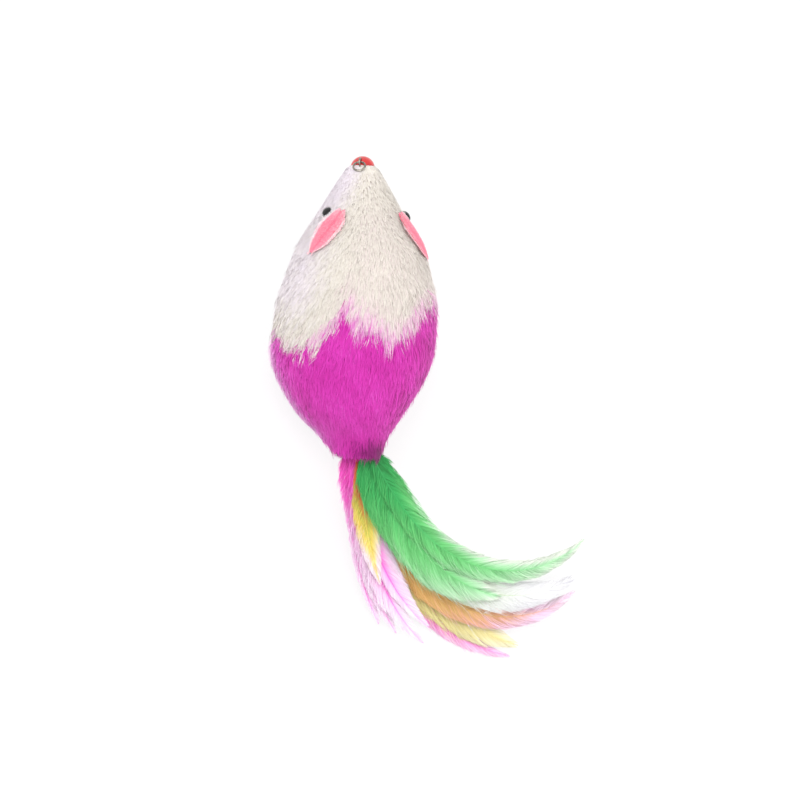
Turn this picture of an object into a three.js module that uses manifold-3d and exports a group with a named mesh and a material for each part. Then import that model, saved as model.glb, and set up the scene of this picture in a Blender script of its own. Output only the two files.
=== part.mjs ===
// A fur mouse with a feather tail, for a cat to chase, with a ring at its nose to tie it by.
//
// Millimetres, +Z up. The mouse lies on its belly with its nose towards +Y, and the tail sweeps towards +X.
// The origin is on the surface that it lies on, below the widest section of the body.
//
// A moulded hollow core in two halves holds a rattle capsule, the stem of the nose bead and the plug that the
// feather quills are glued into. A white pelt in front and a dyed pelt behind wrap the core.

import * as THREE from "three";
import { mergeVertices } from "three/addons/utils/BufferGeometryUtils.js";
import Module from "manifold-3d";

const wasm = await Module();
wasm.setup();

// Overall form of the furred body
const bodyLength = 54.5;
const bodyWidth = 30.6;
const axisHeight = 11;
const bodyBow = 2;
const originShare = 0.6;
const furDepth = 2.6;
const peltGap = 0.3;
const seamY = 2.2;
const muzzleSetback = 0.2;

// Outlines along the body: a station as a share of its length from the nose, then a share of the full size.
// The toy lies slightly bowed, so the middle of its body is bodyBow to the left of its nose and tail.
const halfWidthShares = [
  [0.0, 0.1],
  [0.035, 0.178],
  [0.1, 0.33],
  [0.2, 0.54],
  [0.3, 0.76],
  [0.4, 0.89],
  [0.5, 0.98],
  [0.6, 1.0],
  [0.68, 0.985],
  [0.76, 0.885],
  [0.84, 0.715],
  [0.9, 0.56],
  [0.95, 0.405],
  [1.0, 0.31],
];
const bowShares = [
  [0.0, 0.0],
  [0.1, 0.03],
  [0.35, 0.45],
  [0.6, 0.9],
  [0.75, 1.0],
  [0.88, 0.85],
  [0.95, 0.35],
  [1.0, 0.0],
];
const axisShares = [
  [0.0, 0.72],
  [0.12, 0.74],
  [0.42, 1.0],
  [0.76, 1.0],
  [1.0, 0.9],
];
const backShares = [
  [0.0, 1.0],
  [0.08, 1.0],
  [0.35, 0.88],
  [0.75, 0.88],
  [0.93, 1.0],
  [1.0, 1.0],
];
const bellyShares = [
  [0.0, 1.0],
  [0.08, 1.0],
  [0.35, 0.78],
  [0.75, 0.78],
  [0.93, 1.0],
  [1.0, 1.0],
];

// Core halves, with their posts, ribs, nose boss and tail tube
const shellWall = 1;
const partingGap = 0.1;
const coreFrontShare = 0.11;
const coreRearShare = 0.88;
const postRadius = 1.7;
const pegRadius = 0.8;
const pegLength = 1.6;
const pegClearance = 0.3;
const ribThickness = 1.2;
const bossRadius = 1.9;
const bossDepth = 4;
const tailTubeWall = 0.8;
const tailTubeLength = 7.2;

// Rattle capsule and its ball
const capsuleRadius = 4;
const capsuleLength = 13;
const capsuleWall = 0.9;
const capsuleCentreY = 4;
const capsuleClearance = 0.3;
const lidThickness = 0.9;
const lidSpigot = 1.2;
const rattleBallRadius = 2.6;

// Nose bead and its stem, with a collar behind the boss
const beadRadius = 2.3;
const stemRadius = 0.95;
const stemClearance = 0.3;
const collarRadius = 1.7;
const collarThickness = 0.8;

// Wire staple in the bead, and the ring that the toy is tied by
const wireRadius = 0.18;
const stapleHalfWidth = 0.7;
const stapleRise = 0.35;
const stapleDepth = 1.1;
const stapleClearance = 0.24;
const stapleRoll = -31;
const stapleTilt = 22;
const ringRadius = 1.1;
const ringPivotHeight = 0.45;
const ringFurGap = 0.3;

// Eyes
const eyeRadius = 1.25;
const eyeDome = 1.1;
const eyeBase = 0.4;
const eyeStemRadius = 0.5;
const eyeStemLength = 3.6;
const eyeSink = 0.3;
const eyeClearance = 0.3;
const eyeShare = 0.203;
const eyeRoll = 66;

// Ears: petals of dyed leather that lie along the head, hinged at their front ends
const earHalfWidth = 1.95;
const earThickness = 0.55;
const earLift = 0.3;
const earCup = 0.3;
const earFrontShare = 0.19;
const earRearShare = 0.345;
const earFrontRoll = 43;
const earRearRoll = 61;
const earWidthShares = [
  [0.0, 0.42],
  [0.15, 0.68],
  [0.45, 1.0],
  [0.75, 0.8],
  [1.0, 0.2],
];

// Plug, glued quill ends and binding at the root of the tail
const slugRadius = 2.7;
const plugWall = 0.5;
const plugLength = 7;
const plugClearance = 0.3;
const flangeThickness = 0.8;
const neckBore = 4.2;
const pivotInset = 1.1;
const stubGap = 2;
const stubLength = 0.6;
const bindingRadius = 3.45;
const bindingWall = 0.35;
const bindingLength = 1.2;
const bindingBulge = 0.12;

// Feathers: layers lie on parallel surfaces that fall from the plug to the ground. The first three are the
// sizes of the longest, the broadest and the one farthest to the side.
const featherLength = 64;
const featherHalfWidth = 4.4;
const quillSpread = 1.1;
const quillRadius = 0.3;
const rachisRadius = 0.19;
const tipRadius = 0.09;
const quillTaperShare = 0.05;
const quillInset = 0.1;
const vaneThickness = 0.16;
const rootPitch = 0.33;
const tipPitch = 0.52;
const dropLength = 44;
const groundGap = 0.35;
const bendPower = 1.6;
const barbNotchShare = 0.16;
const vaneShares = [
  [0.0, 0.0],
  [0.05, 0.0],
  [0.1, 0.48],
  [0.22, 0.82],
  [0.45, 1.0],
  [0.7, 0.92],
  [0.87, 0.58],
  [1.0, 0.06],
];

// How far each of the ten corners of a feather's section goes out with the vane
const vaneCornerShares = [1, 0.5, 0, 0, 0.5, 1, 0.5, 0, 0, 0.5];

// Each feather, lowest layer first: its name and colour, then as shares of the full sizes the place of its
// quill across the bundle, its length and the width of its vane, and then its headings at its root and tip in
// degrees from straight back, turning towards +X
const featherShares = [
  ["magenta_feather", 0xe83fae, 0, 0.867, 0.523, 19.5, 83],
  ["yellow_feather", 0xf0dc8a, 0.682, 0.836, 1, 25.5, 78],
  ["pink_plume_1", 0xf08ad8, -1, 0.547, 0.523, 5, 34],
  ["pink_plume_2", 0xf08ad8, -0.318, 0.586, 0.409, 7, 40],
  ["orange_feather", 0xdca868, 0.682, 1, 0.682, 20, 136],
  ["pink_plume_3", 0xf08ad8, -0.091, 0.648, 0.409, 9, 53],
  ["pink_plume_4", 0xf08ad8, -0.864, 0.617, 0.455, 13, 57],
  ["yellow_plume", 0xf0d860, -0.227, 0.422, 0.5, 9, 26],
  ["white_feather", 0xf4f2f0, 0.455, 0.93, 0.818, 27, 130],
  ["green_feather_1", 0x58c070, -0.182, 0.547, 0.795, 25, 57],
  ["green_feather_2", 0x44b060, 0.409, 0.672, 1, 28, 84],
  ["green_feather_3", 0x50bb6c, 0.909, 0.898, 0.523, 32.5, 141],
];

// How finely the surfaces are drawn
const roundSegments = 16;
const fineSegments = 8;
const ringSegments = 20;
const domeSteps = 5;
const bodySegments = 32;
const bodyStations = 18;
const coreSegments = 20;
const coreStations = 9;
const earStations = 10;
const earSteps = 4;
const featherStations = 18;
const weldTolerance = 1e-4;
const overrun = 1;

const radians = THREE.MathUtils.degToRad;
const lerp = THREE.MathUtils.lerp;

// The whole numbers from 0 to count, as shares of count
function shares(count) {
  return Array.from({ length: count + 1 }, (_, i) => i / count);
}

const wholeDegrees = [...Array(90).keys()];

// A smooth line through [place, value] pairs, as a function of the place
function smoothLine(pairs) {
  const last = pairs.length - 1;
  const slope = (i) => {
    const before = pairs[Math.max(i - 1, 0)];
    const after = pairs[Math.min(i + 1, last)];
    return (after[1] - before[1]) / (after[0] - before[0]);
  };
  return (place) => {
    const found = pairs.findIndex((pair) => pair[0] >= place);
    const start = found < 0 ? last - 1 : Math.max(found - 1, 0);
    const [x0, y0] = pairs[start];
    const [x1, y1] = pairs[start + 1];
    const t = THREE.MathUtils.clamp((place - x0) / (x1 - x0), 0, 1);
    const bend = t * t * (3 - 2 * t);
    const lead = t * (1 - t) * (1 - t) * slope(start);
    const trail = t * t * (1 - t) * slope(start + 1);
    return lerp(y0, y1, bend) + (lead - trail) * (x1 - x0);
  };
}

// Triangles that enclose a positive volume: as they are, or each turned round
function facingOut(positions, triangles) {
  const corner = (i) => new THREE.Vector3().fromArray(positions, triangles[i] * 3);
  let volume = 0;
  for (let i = 0; i < triangles.length; i += 3) {
    volume += corner(i).dot(corner(i + 1).cross(corner(i + 2)));
  }
  if (volume > 0) return triangles;
  const turned = [];
  for (let i = 0; i < triangles.length; i += 3) {
    turned.push(triangles[i], triangles[i + 2], triangles[i + 1]);
  }
  return turned;
}

// A closed three.js geometry as a solid that can be joined and cut
function solidOf(geometry) {
  const bare = new THREE.BufferGeometry();
  bare.setAttribute("position", geometry.getAttribute("position"));
  bare.setIndex(geometry.index);
  const welded = mergeVertices(bare, weldTolerance);
  const corners = welded.index.array;
  const kept = [];
  for (let i = 0; i < corners.length; i += 3) {
    const [a, b, c] = corners.subarray(i, i + 3);
    if (a !== b && b !== c && c !== a) kept.push(a, b, c);
  }
  const vertProperties = welded.getAttribute("position").array;
  const triVerts = new Uint32Array(facingOut(vertProperties, kept));
  return new wasm.Manifold(new wasm.Mesh({ numProp: 3, vertProperties, triVerts }));
}

function geometryOf(solid) {
  const { vertProperties, triVerts } = solid.getMesh();
  const geometry = new THREE.BufferGeometry();
  geometry.setAttribute("position", new THREE.BufferAttribute(vertProperties, 3));
  geometry.setIndex(new THREE.BufferAttribute(triVerts, 1));
  geometry.computeVertexNormals();
  return geometry;
}

// A closed skin over rings with equal numbers of points, with a fan over each end
function loft(rings) {
  const count = rings[0].length;
  const positions = rings.flat().flatMap((point) => point.toArray());
  const triangles = [];
  for (let start = 0; start < (rings.length - 1) * count; start += count) {
    for (let k = 0; k < count; k += 1) {
      const [a, b] = [start + k, start + ((k + 1) % count)];
      triangles.push(a, b, a + count, b, b + count, a + count);
    }
  }
  const closeEnd = (ring, start, fan) => {
    const hub = positions.length / 3;
    const middle = ring.reduce((sum, point) => sum.add(point), new THREE.Vector3());
    positions.push(...middle.divideScalar(count).toArray());
    for (let k = 0; k < count; k += 1) triangles.push(...fan(hub, start + k, start + ((k + 1) % count)));
  };
  closeEnd(rings[0], 0, (hub, a, b) => [hub, b, a]);
  closeEnd(rings.at(-1), (rings.length - 1) * count, (hub, a, b) => [hub, a, b]);
  const geometry = new THREE.BufferGeometry();
  geometry.setAttribute("position", new THREE.Float32BufferAttribute(positions, 3));
  geometry.setIndex(facingOut(positions, triangles));
  geometry.computeVertexNormals();
  return geometry;
}

// A turned solid on an axis along Y, from [radius, y] corners, standing at a height
function turned(corners, z, segments = roundSegments) {
  const profile = corners.map(([radius, y]) => new THREE.Vector2(radius, y));
  const geometry = new THREE.LatheGeometry(profile, segments);
  geometry.translate(0, 0, z);
  return solidOf(geometry);
}

// A round bar along Y between two stations
function barAlongY(radius, fromY, toY, x, z, segments = roundSegments) {
  const bar = new THREE.CylinderGeometry(radius, radius, Math.abs(toY - fromY), segments);
  bar.translate(x, (fromY + toY) / 2, z);
  return solidOf(bar);
}

// A round bar along X between two places
function barAlongX(radius, fromX, toX, y, z) {
  const bar = new THREE.CylinderGeometry(radius, radius, Math.abs(toX - fromX), roundSegments);
  bar.rotateZ(Math.PI / 2);
  bar.translate((fromX + toX) / 2, y, z);
  return solidOf(bar);
}

// Blocks that reach past the whole body: between two stations, to one side, and above the ground
const reach = bodyLength + bodyWidth;

function blockAt(depth, x, y, z) {
  const block = new THREE.BoxGeometry(reach, depth, reach);
  block.translate(x, y, z);
  return solidOf(block);
}

const slabAlongY = (fromY, toY) => blockAt(Math.abs(toY - fromY), 0, (fromY + toY) / 2, 0);
const sideBlock = (side) => blockAt(2 * reach, (side * (reach + partingGap)) / 2, 0, 0);
const aboveGround = blockAt(2 * reach, 0, 0, reach / 2);

// The furred body's surface
const halfWidthAt = smoothLine(halfWidthShares);
const bowAt = smoothLine(bowShares);
const axisAt = smoothLine(axisShares);
const backAt = smoothLine(backShares);
const bellyAt = smoothLine(bellyShares);
const stationY = (share) => (originShare - share) * bodyLength;
const shareAt = (y) => originShare - y / bodyLength;

// A point of the surface, or above it by lift. The roll is in radians from straight up, towards +X.
function skinPoint(share, roll, lift = 0) {
  const half = (halfWidthAt(share) * bodyWidth) / 2 + lift;
  const up = Math.cos(roll);
  const tall = up > 0 ? backAt(share) : bellyAt(share);
  const x = half * Math.sin(roll) - bodyBow * bowAt(share);
  return new THREE.Vector3(x, stationY(share), axisAt(share) * axisHeight + half * tall * up);
}

// How far a point is outside the surface, square to the body's axis
function heightAboveSkin({ x, y, z }) {
  const share = shareAt(y);
  const across = x + bodyBow * bowAt(share);
  const up = z - axisAt(share) * axisHeight;
  const tall = up > 0 ? backAt(share) : bellyAt(share);
  return Math.hypot(across, up / tall) - (halfWidthAt(share) * bodyWidth) / 2;
}

// The body from one station to another, shrunk by inset
function bodySolid(inset, fromY, toY, stations, segments) {
  const rings = shares(stations).map((t) =>
    Array.from({ length: segments }, (_, k) =>
      skinPoint(shareAt(lerp(fromY, toY, t)), (k / segments) * 2 * Math.PI, -inset),
    ),
  );
  return solidOf(loft(rings));
}

function coreSolid(inset, fromY, toY) {
  return bodySolid(inset, fromY, toY, coreStations, coreSegments);
}

// A frame on the surface: its Z is the outward normal and its Y points along the surface towards the nose
function skinFrame(share, roll) {
  const point = skinPoint(share, roll);
  const forward = skinPoint(share - weldTolerance, roll).sub(point).normalize();
  const around = skinPoint(share, roll + weldTolerance).sub(point).normalize();
  const normal = around.cross(forward).normalize();
  const across = forward.clone().cross(normal);
  return new THREE.Matrix4().makeBasis(across, forward, normal).setPosition(point);
}

// Places along the axis that several pieces share
const noseY = stationY(0);
const mouthY = stationY(1);
const beadY = noseY - beadRadius;
const muzzleY = beadY - muzzleSetback;
const noseZ = axisAt(0) * axisHeight;
const tailZ = axisAt(1) * axisHeight;
const bossFrontY = beadY - beadRadius - stemClearance;
const bossRearY = bossFrontY - bossDepth;
const collarFrontY = bossRearY - stemClearance;
const collarRearY = collarFrontY - collarThickness;
const coreFrontY = stationY(coreFrontShare);
const coreRearY = stationY(coreRearShare);
const capsuleRearY = capsuleCentreY - capsuleLength / 2;
const capsuleFrontY = capsuleCentreY + capsuleLength / 2;
const pivotY = mouthY + pivotInset;
const stubTipY = pivotY + stubGap;
const slugRearY = stubTipY + stubLength;
const flangeRearY = slugRearY + plugClearance;
const flangeFrontY = flangeRearY + flangeThickness;
const plugFrontY = flangeFrontY + plugLength;
const slugFrontY = plugFrontY - plugWall - plugClearance;
const tubeRearY = flangeFrontY + plugClearance;
const tubeFrontY = tubeRearY + tailTubeLength;
const plugBore = slugRadius + plugClearance;
const plugRadius = plugBore + plugWall;
const tubeBore = plugRadius + plugClearance;
const tubeRadius = tubeBore + tailTubeWall;

// Materials
const material = (colour, roughness, metalness = 0) =>
  new THREE.MeshStandardMaterial({ color: colour, roughness, metalness });
const whiteFur = material(0xf2ebe2, 0.9);
const magentaFur = material(0xdc3cc0, 0.85);
const pinkLeather = material(0xf88aa6, 0.7);
const blackGloss = material(0x141014, 0.15);
const redGloss = material(0xc8282c, 0.2);
const steelWire = material(0x9a948c, 0.35, 0.9);
const corePlastic = material(0xe8e4d8, 0.6);
const capsulePlastic = material(0xdfe6ea, 0.4);
const clearGlue = material(0xe6d9b8, 0.5);
const paleThread = material(0xd8d2c8, 0.9);

// The assembly
const mouse = new THREE.Group();

function addPiece(name, geometry, look, parent = mouse) {
  const mesh = new THREE.Mesh(geometry, look);
  mesh.name = name;
  parent.add(mesh);
}

function groupAt(frame) {
  const group = new THREE.Group();
  frame.decompose(group.position, group.quaternion, group.scale);
  mouse.add(group);
  return group;
}

// Eyes: domed studs whose stems pass through the front pelt into the core, in a frame on the skin.
// Grown by extra, the same form is the hole that they sit in.
function eyeGeometry(extra) {
  const radius = eyeRadius + extra;
  const stemRound = eyeStemRadius + extra;
  const footHeight = -eyeSink - eyeBase - extra;
  const stemEnd = footHeight - eyeStemLength;
  const profile = [new THREE.Vector2(0, stemEnd)];
  profile.push(new THREE.Vector2(stemRound, stemEnd));
  profile.push(new THREE.Vector2(stemRound, footHeight));
  profile.push(new THREE.Vector2(radius, footHeight));
  for (const t of shares(domeSteps)) {
    const angle = (t * Math.PI) / 2;
    const height = (eyeDome + extra) * Math.sin(angle) - eyeSink;
    profile.push(new THREE.Vector2(t < 1 ? radius * Math.cos(angle) : 0, height));
  }
  return new THREE.LatheGeometry(profile, roundSegments).rotateX(Math.PI / 2);
}

const eyeSides = [
  { name: "left_eye", frame: skinFrame(eyeShare, radians(-eyeRoll)) },
  { name: "right_eye", frame: skinFrame(eyeShare, radians(eyeRoll)) },
];
for (const { name, frame } of eyeSides) {
  addPiece(name, geometryOf(solidOf(eyeGeometry(0))), blackGloss, groupAt(frame));
}
const eyeHoles = eyeSides.map(({ frame }) => solidOf(eyeGeometry(eyeClearance).applyMatrix4(frame)));

// Pelts: a skin as deep as its fur, round the core, with a seam between the two
const coreSpace = coreSolid(furDepth, coreFrontY + peltGap, coreRearY - peltGap)
  .add(barAlongY(bossRadius + peltGap, coreFrontY - overrun, beadY, 0, noseZ))
  .add(barAlongY(tubeRadius + peltGap, flangeRearY - plugClearance, coreRearY + overrun, 0, tailZ))
  .add(barAlongY(neckBore, mouthY - overrun, flangeRearY, 0, tailZ));

function beadSpace() {
  const round = new THREE.SphereGeometry(beadRadius + peltGap, roundSegments, roundSegments / 2);
  round.rotateX(Math.PI / 2);
  round.translate(0, beadY, noseZ);
  return solidOf(round).add(barAlongY(beadRadius + peltGap, beadY, noseY + overrun, 0, noseZ));
}

const peltForm = bodySolid(0, muzzleY, mouthY, bodyStations, bodySegments)
  .intersect(aboveGround)
  .subtract(coreSpace);
const frontPelt = eyeHoles.reduce(
  (pelt, hole) => pelt.subtract(hole),
  peltForm.intersect(slabAlongY(seamY + peltGap / 2, noseY)).subtract(beadSpace()),
);
const rearPelt = peltForm.intersect(slabAlongY(mouthY - overrun, seamY - peltGap / 2));
addPiece("front_pelt", geometryOf(frontPelt), whiteFur);
addPiece("rear_pelt", geometryOf(rearPelt), magentaFur);

// Core halves: a hollow shell split along the middle, with ribs that cradle the capsule, posts that meet at
// the parting plane, a boss round the stem of the bead and a tube round the tail plug
const coreInset = furDepth + peltGap;
const coreForm = coreSolid(coreInset, coreFrontY, coreRearY);
const coreHollow = coreSolid(coreInset + shellWall, coreFrontY - shellWall, coreRearY + shellWall);
const postOffset = capsuleRadius + capsuleClearance + postRadius + capsuleClearance;
const postPlaces = [
  [(collarRearY + capsuleFrontY) / 2, axisHeight],
  [capsuleCentreY, axisHeight + postOffset],
  [capsuleCentreY, axisHeight - postOffset],
  [(capsuleRearY + tubeFrontY) / 2, axisHeight],
];
const ribCentres = [capsuleCentreY - capsuleLength / 4, capsuleCentreY + capsuleLength / 4];

function coreHalf(side) {
  const ribs = ribCentres.map((y) => slabAlongY(y - ribThickness / 2, y + ribThickness / 2));
  const posts = postPlaces.map(([y, z]) => barAlongX(postRadius, 0, (side * bodyWidth) / 2, y, z));
  const inner = [...ribs, ...posts].map((solid) => solid.intersect(coreForm));
  let half = inner.reduce((sum, solid) => sum.add(solid), coreForm.subtract(coreHollow));
  half = half.add(barAlongY(bossRadius, bossRearY, bossFrontY, 0, noseZ));
  half = half.add(barAlongY(tubeRadius, tubeRearY, tubeFrontY, 0, tailZ));
  const capsuleSpace = capsuleRadius + capsuleClearance;
  const capsuleEnd = capsuleLength / 2 + capsuleClearance;
  const bores = [
    barAlongY(stemRadius + stemClearance, coreFrontY - bossDepth - overrun, noseY, 0, noseZ),
    barAlongY(tubeBore, tubeRearY - overrun, tubeFrontY + overrun, 0, tailZ),
    barAlongY(capsuleSpace, capsuleCentreY - capsuleEnd, capsuleCentreY + capsuleEnd, 0, axisHeight),
    ...eyeHoles,
  ];
  half = bores.reduce((sum, bore) => sum.subtract(bore), half);
  return half.intersect(sideBlock(side));
}

let coreLeft = coreHalf(-1);
let coreRight = coreHalf(1);
for (const [y, z] of postPlaces) {
  coreLeft = coreLeft.subtract(barAlongX(pegRadius + pegClearance, -pegLength - pegClearance, overrun, y, z));
  coreRight = coreRight.add(barAlongX(pegRadius, -pegLength, postRadius, y, z));
}
addPiece("core_shell_left", geometryOf(coreLeft), corePlastic);
addPiece("core_shell_right", geometryOf(coreRight), corePlastic);

// Rattle capsule: a cup, a lid whose spigot seats in it, and a ball that runs from end to end
const cupBore = capsuleRadius - capsuleWall;
const cupMouthY = capsuleFrontY - lidThickness - capsuleClearance;
const lidInnerY = capsuleFrontY - lidThickness - lidSpigot;
const cupFloorY = capsuleRearY + capsuleWall;
const cup = [
  [0, capsuleRearY],
  [capsuleRadius, capsuleRearY],
  [capsuleRadius, cupMouthY],
  [cupBore, cupMouthY],
  [cupBore, cupFloorY],
  [0, cupFloorY],
];
const lid = [
  [0, lidInnerY],
  [cupBore - capsuleClearance, lidInnerY],
  [cupBore - capsuleClearance, capsuleFrontY - lidThickness],
  [capsuleRadius, capsuleFrontY - lidThickness],
  [capsuleRadius, capsuleFrontY],
  [0, capsuleFrontY],
];
addPiece("rattle_cup", geometryOf(turned(cup, axisHeight)), capsulePlastic);
addPiece("rattle_lid", geometryOf(turned(lid, axisHeight)), capsulePlastic);
const rattleBall = new THREE.SphereGeometry(rattleBallRadius, roundSegments, roundSegments / 2);
const ballHeight = axisHeight - cupBore + capsuleClearance + rattleBallRadius;
rattleBall.translate(0, (cupFloorY + lidInnerY) / 2, ballHeight);
addPiece("rattle_ball", geometryOf(solidOf(rattleBall)), steelWire);

// Nose bead: a ball on a stem, and two holes for the staple's legs
const stapleDirection = new THREE.Vector3(0, 0, 1)
  .applyAxisAngle(new THREE.Vector3(1, 0, 0), radians(-stapleTilt))
  .applyAxisAngle(new THREE.Vector3(0, 1, 0), radians(stapleRoll));
const stapleForward = new THREE.Vector3(0, 1, 0)
  .applyAxisAngle(new THREE.Vector3(1, 0, 0), radians(-stapleTilt))
  .applyAxisAngle(new THREE.Vector3(0, 1, 0), radians(stapleRoll));
const stapleFrame = new THREE.Matrix4()
  .makeBasis(stapleForward.clone().cross(stapleDirection), stapleForward, stapleDirection)
  .setPosition(new THREE.Vector3(0, beadY, noseZ).addScaledVector(stapleDirection, beadRadius));

function stapleHole(side) {
  const depth = stapleDepth + stapleClearance + overrun;
  const round = wireRadius + stapleClearance;
  const hole = new THREE.CylinderGeometry(round, round, depth, fineSegments);
  hole.rotateX(Math.PI / 2);
  hole.translate(0, side * stapleHalfWidth, overrun - depth / 2);
  return solidOf(hole.applyMatrix4(stapleFrame));
}

const beadStart = Math.asin(stemRadius / beadRadius);
const beadCorners = [
  [0, collarRearY],
  [collarRadius, collarRearY],
  [collarRadius, collarFrontY],
  [stemRadius, collarFrontY],
];
for (const t of shares(2 * domeSteps)) {
  const angle = lerp(beadStart, Math.PI, t);
  beadCorners.push([t < 1 ? beadRadius * Math.sin(angle) : 0, beadY - beadRadius * Math.cos(angle)]);
}
const noseBead = turned(beadCorners, noseZ).subtract(stapleHole(1)).subtract(stapleHole(-1));
addPiece("nose_bead", geometryOf(noseBead), redGloss);

// Staple: one wire, down into the bead at both ends
const staple = groupAt(stapleFrame);
const staplePoints = [new THREE.Vector3(0, -stapleHalfWidth, -stapleDepth)];
for (const t of shares(2 * domeSteps)) {
  const angle = t * Math.PI;
  const [y, rise] = [-stapleHalfWidth * Math.cos(angle), stapleHalfWidth * Math.sin(angle)];
  staplePoints.push(new THREE.Vector3(0, y, stapleRise + rise));
}
staplePoints.push(new THREE.Vector3(0, stapleHalfWidth, -stapleDepth));
const stapleGeometry = new THREE.ExtrudeGeometry(new THREE.Shape().absarc(0, 0, wireRadius, 0, 2 * Math.PI), {
  curveSegments: fineSegments / 2,
  steps: ringSegments,
  extrudePath: new THREE.CatmullRomCurve3(staplePoints),
});
addPiece("nose_staple", geometryOf(solidOf(stapleGeometry)), steelWire, staple);

// Ring: through the staple, and lying back over the muzzle until it is ringFurGap above the fur
function ringClears(angle) {
  return shares(ringSegments).every((t) => {
    const round = t * 2 * Math.PI;
    const point = new THREE.Vector3(ringRadius * Math.cos(round), ringRadius * (Math.sin(round) - 1), 0);
    point.applyAxisAngle(new THREE.Vector3(1, 0, 0), radians(-angle));
    point.z += ringPivotHeight;
    point.applyMatrix4(stapleFrame);
    return point.y > muzzleY || heightAboveSkin(point) > wireRadius + ringFurGap;
  });
}
const ringHinge = new THREE.Group();
ringHinge.position.set(0, 0, ringPivotHeight);
ringHinge.rotation.x = radians(-wholeDegrees.find(ringClears));
staple.add(ringHinge);
const ring = new THREE.TorusGeometry(ringRadius, wireRadius, fineSegments, ringSegments);
ring.translate(0, -ringRadius, 0);
addPiece("line_ring", geometryOf(solidOf(ring)), steelWire, ringHinge);

// Ears: cupped petals along the head
function earGeometry(side) {
  const widthAt = smoothLine(earWidthShares);
  const centreAt = (t) => {
    const roll = side * radians(lerp(earFrontRoll, earRearRoll, t));
    return { share: lerp(earFrontShare, earRearShare, t), roll };
  };
  const rings = shares(earStations).map((t) => {
    const { share, roll } = centreAt(t);
    const frame = skinFrame(share, roll);
    const normal = new THREE.Vector3().setFromMatrixColumn(frame, 2);
    const next = centreAt(t + weldTolerance);
    const along = skinPoint(next.share, next.roll).sub(skinPoint(share, roll)).normalize();
    const across = along.cross(normal).normalize();
    const half = widthAt(t) * earHalfWidth;
    const corner = (s, height) => {
      const lift = earLift + earCup * s * s + height;
      return skinPoint(share, roll).addScaledVector(across, s * half).addScaledVector(normal, lift);
    };
    const places = shares(earSteps).map((place) => 2 * place - 1);
    const under = places.map((s) => corner(s, 0));
    const over = places.map((s) => corner(s, earThickness * (1 - (s * s) / 2))).reverse();
    return [...under, ...over];
  });
  return loft(rings);
}
addPiece("left_ear", earGeometry(-1), pinkLeather);
addPiece("right_ear", earGeometry(1), pinkLeather);

// Tail plug: a flanged cup that the pelt's neck holds against the tail tube
const plug = [
  [0, plugFrontY - plugWall],
  [plugBore, plugFrontY - plugWall],
  [plugBore, flangeRearY],
  [tubeRadius, flangeRearY],
  [tubeRadius, flangeFrontY],
  [plugRadius, flangeFrontY],
  [plugRadius, plugFrontY],
  [0, plugFrontY],
];
addPiece("tail_plug", geometryOf(turned(plug, tailZ)), corePlastic);

// Layers of the tail: the height of a layer at a distance behind the pivot
const layerAtPlug = (layer) => tailZ + (layer - (featherShares.length - 1) / 2) * rootPitch;
const layerAtGround = (layer) => groundGap + rachisRadius + layer * tipPitch;

function layerHeight(layer, distance) {
  const fallen = THREE.MathUtils.smoothstep(distance, 0, dropLength);
  return lerp(layerAtPlug(layer), layerAtGround(layer), fallen);
}

// Glued quill ends: a slug of glue in the plug, with the stubs of all the quills in it
const quillEnds = featherShares.reduce(
  (sum, [, , slot], layer) => {
    const x = slot * quillSpread;
    return sum.add(barAlongY(quillRadius, stubTipY, slugFrontY, x, layerAtPlug(layer), fineSegments));
  },
  barAlongY(slugRadius, slugRearY, slugFrontY, 0, tailZ),
);
addPiece("glued_quill_ends", geometryOf(quillEnds), clearGlue);

// Binding: thread wound round the quills where they bend
const bindingRearY = pivotY - bindingLength / 2;
const bindingFrontY = pivotY + bindingLength / 2;
const bindingBore = bindingRadius - bindingWall;
const binding = [
  [bindingBore, bindingRearY],
  [bindingRadius - bindingBulge, bindingRearY],
  [bindingRadius, pivotY],
  [bindingRadius - bindingBulge, bindingFrontY],
  [bindingBore, bindingFrontY],
  [bindingBore, bindingRearY],
];
addPiece("quill_binding", geometryOf(turned(binding, tailZ)), paleThread);

// Feathers: a quill that thins to a rachis, with a notched vane on both sides, in one skin
const vaneAt = smoothLine(vaneShares);

function rachisAt(t) {
  if (t < quillTaperShare) return lerp(quillRadius, rachisRadius, t / quillTaperShare);
  return lerp(rachisRadius, tipRadius, (t - quillTaperShare) / (1 - quillTaperShare));
}

function featherGeometry([, , slot, lengthShare, widthShare, root, tip], layer) {
  const place = new THREE.Vector2(slot * quillSpread, pivotY + quillInset);
  const rings = shares(featherStations).map((t, station) => {
    const heading = radians(lerp(root, tip, t ** bendPower));
    const round = rachisAt(t);
    const notch = station % 2 ? 1 - barbNotchShare : 1;
    const vane = Math.max(vaneAt(t) * widthShare * featherHalfWidth * notch - round, 0);
    const flat = Math.min(vane / round, 1);
    const ring = vaneCornerShares.map((share, k) => {
      const angle = (k / vaneCornerShares.length) * 2 * Math.PI;
      const out = round * Math.cos(angle) + Math.sign(Math.cos(angle)) * vane * share;
      const x = place.x + out * Math.cos(heading);
      const y = place.y + out * Math.sin(heading);
      const tall = lerp(round, Math.min(vaneThickness / 2, round), share > 0 ? flat : 0);
      const distance = Math.hypot(x, y - pivotY);
      return new THREE.Vector3(x, y, layerHeight(layer, distance) + tall * Math.sin(angle));
    });
    const step = (lengthShare * featherLength) / featherStations;
    place.add(new THREE.Vector2(step * Math.sin(heading), -step * Math.cos(heading)));
    return ring;
  });
  return loft(rings);
}
featherShares.forEach((feather, layer) => {
  const [name, colour] = feather;
  addPiece(name, featherGeometry(feather, layer), material(colour, 0.8));
});

export default mouse;
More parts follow.
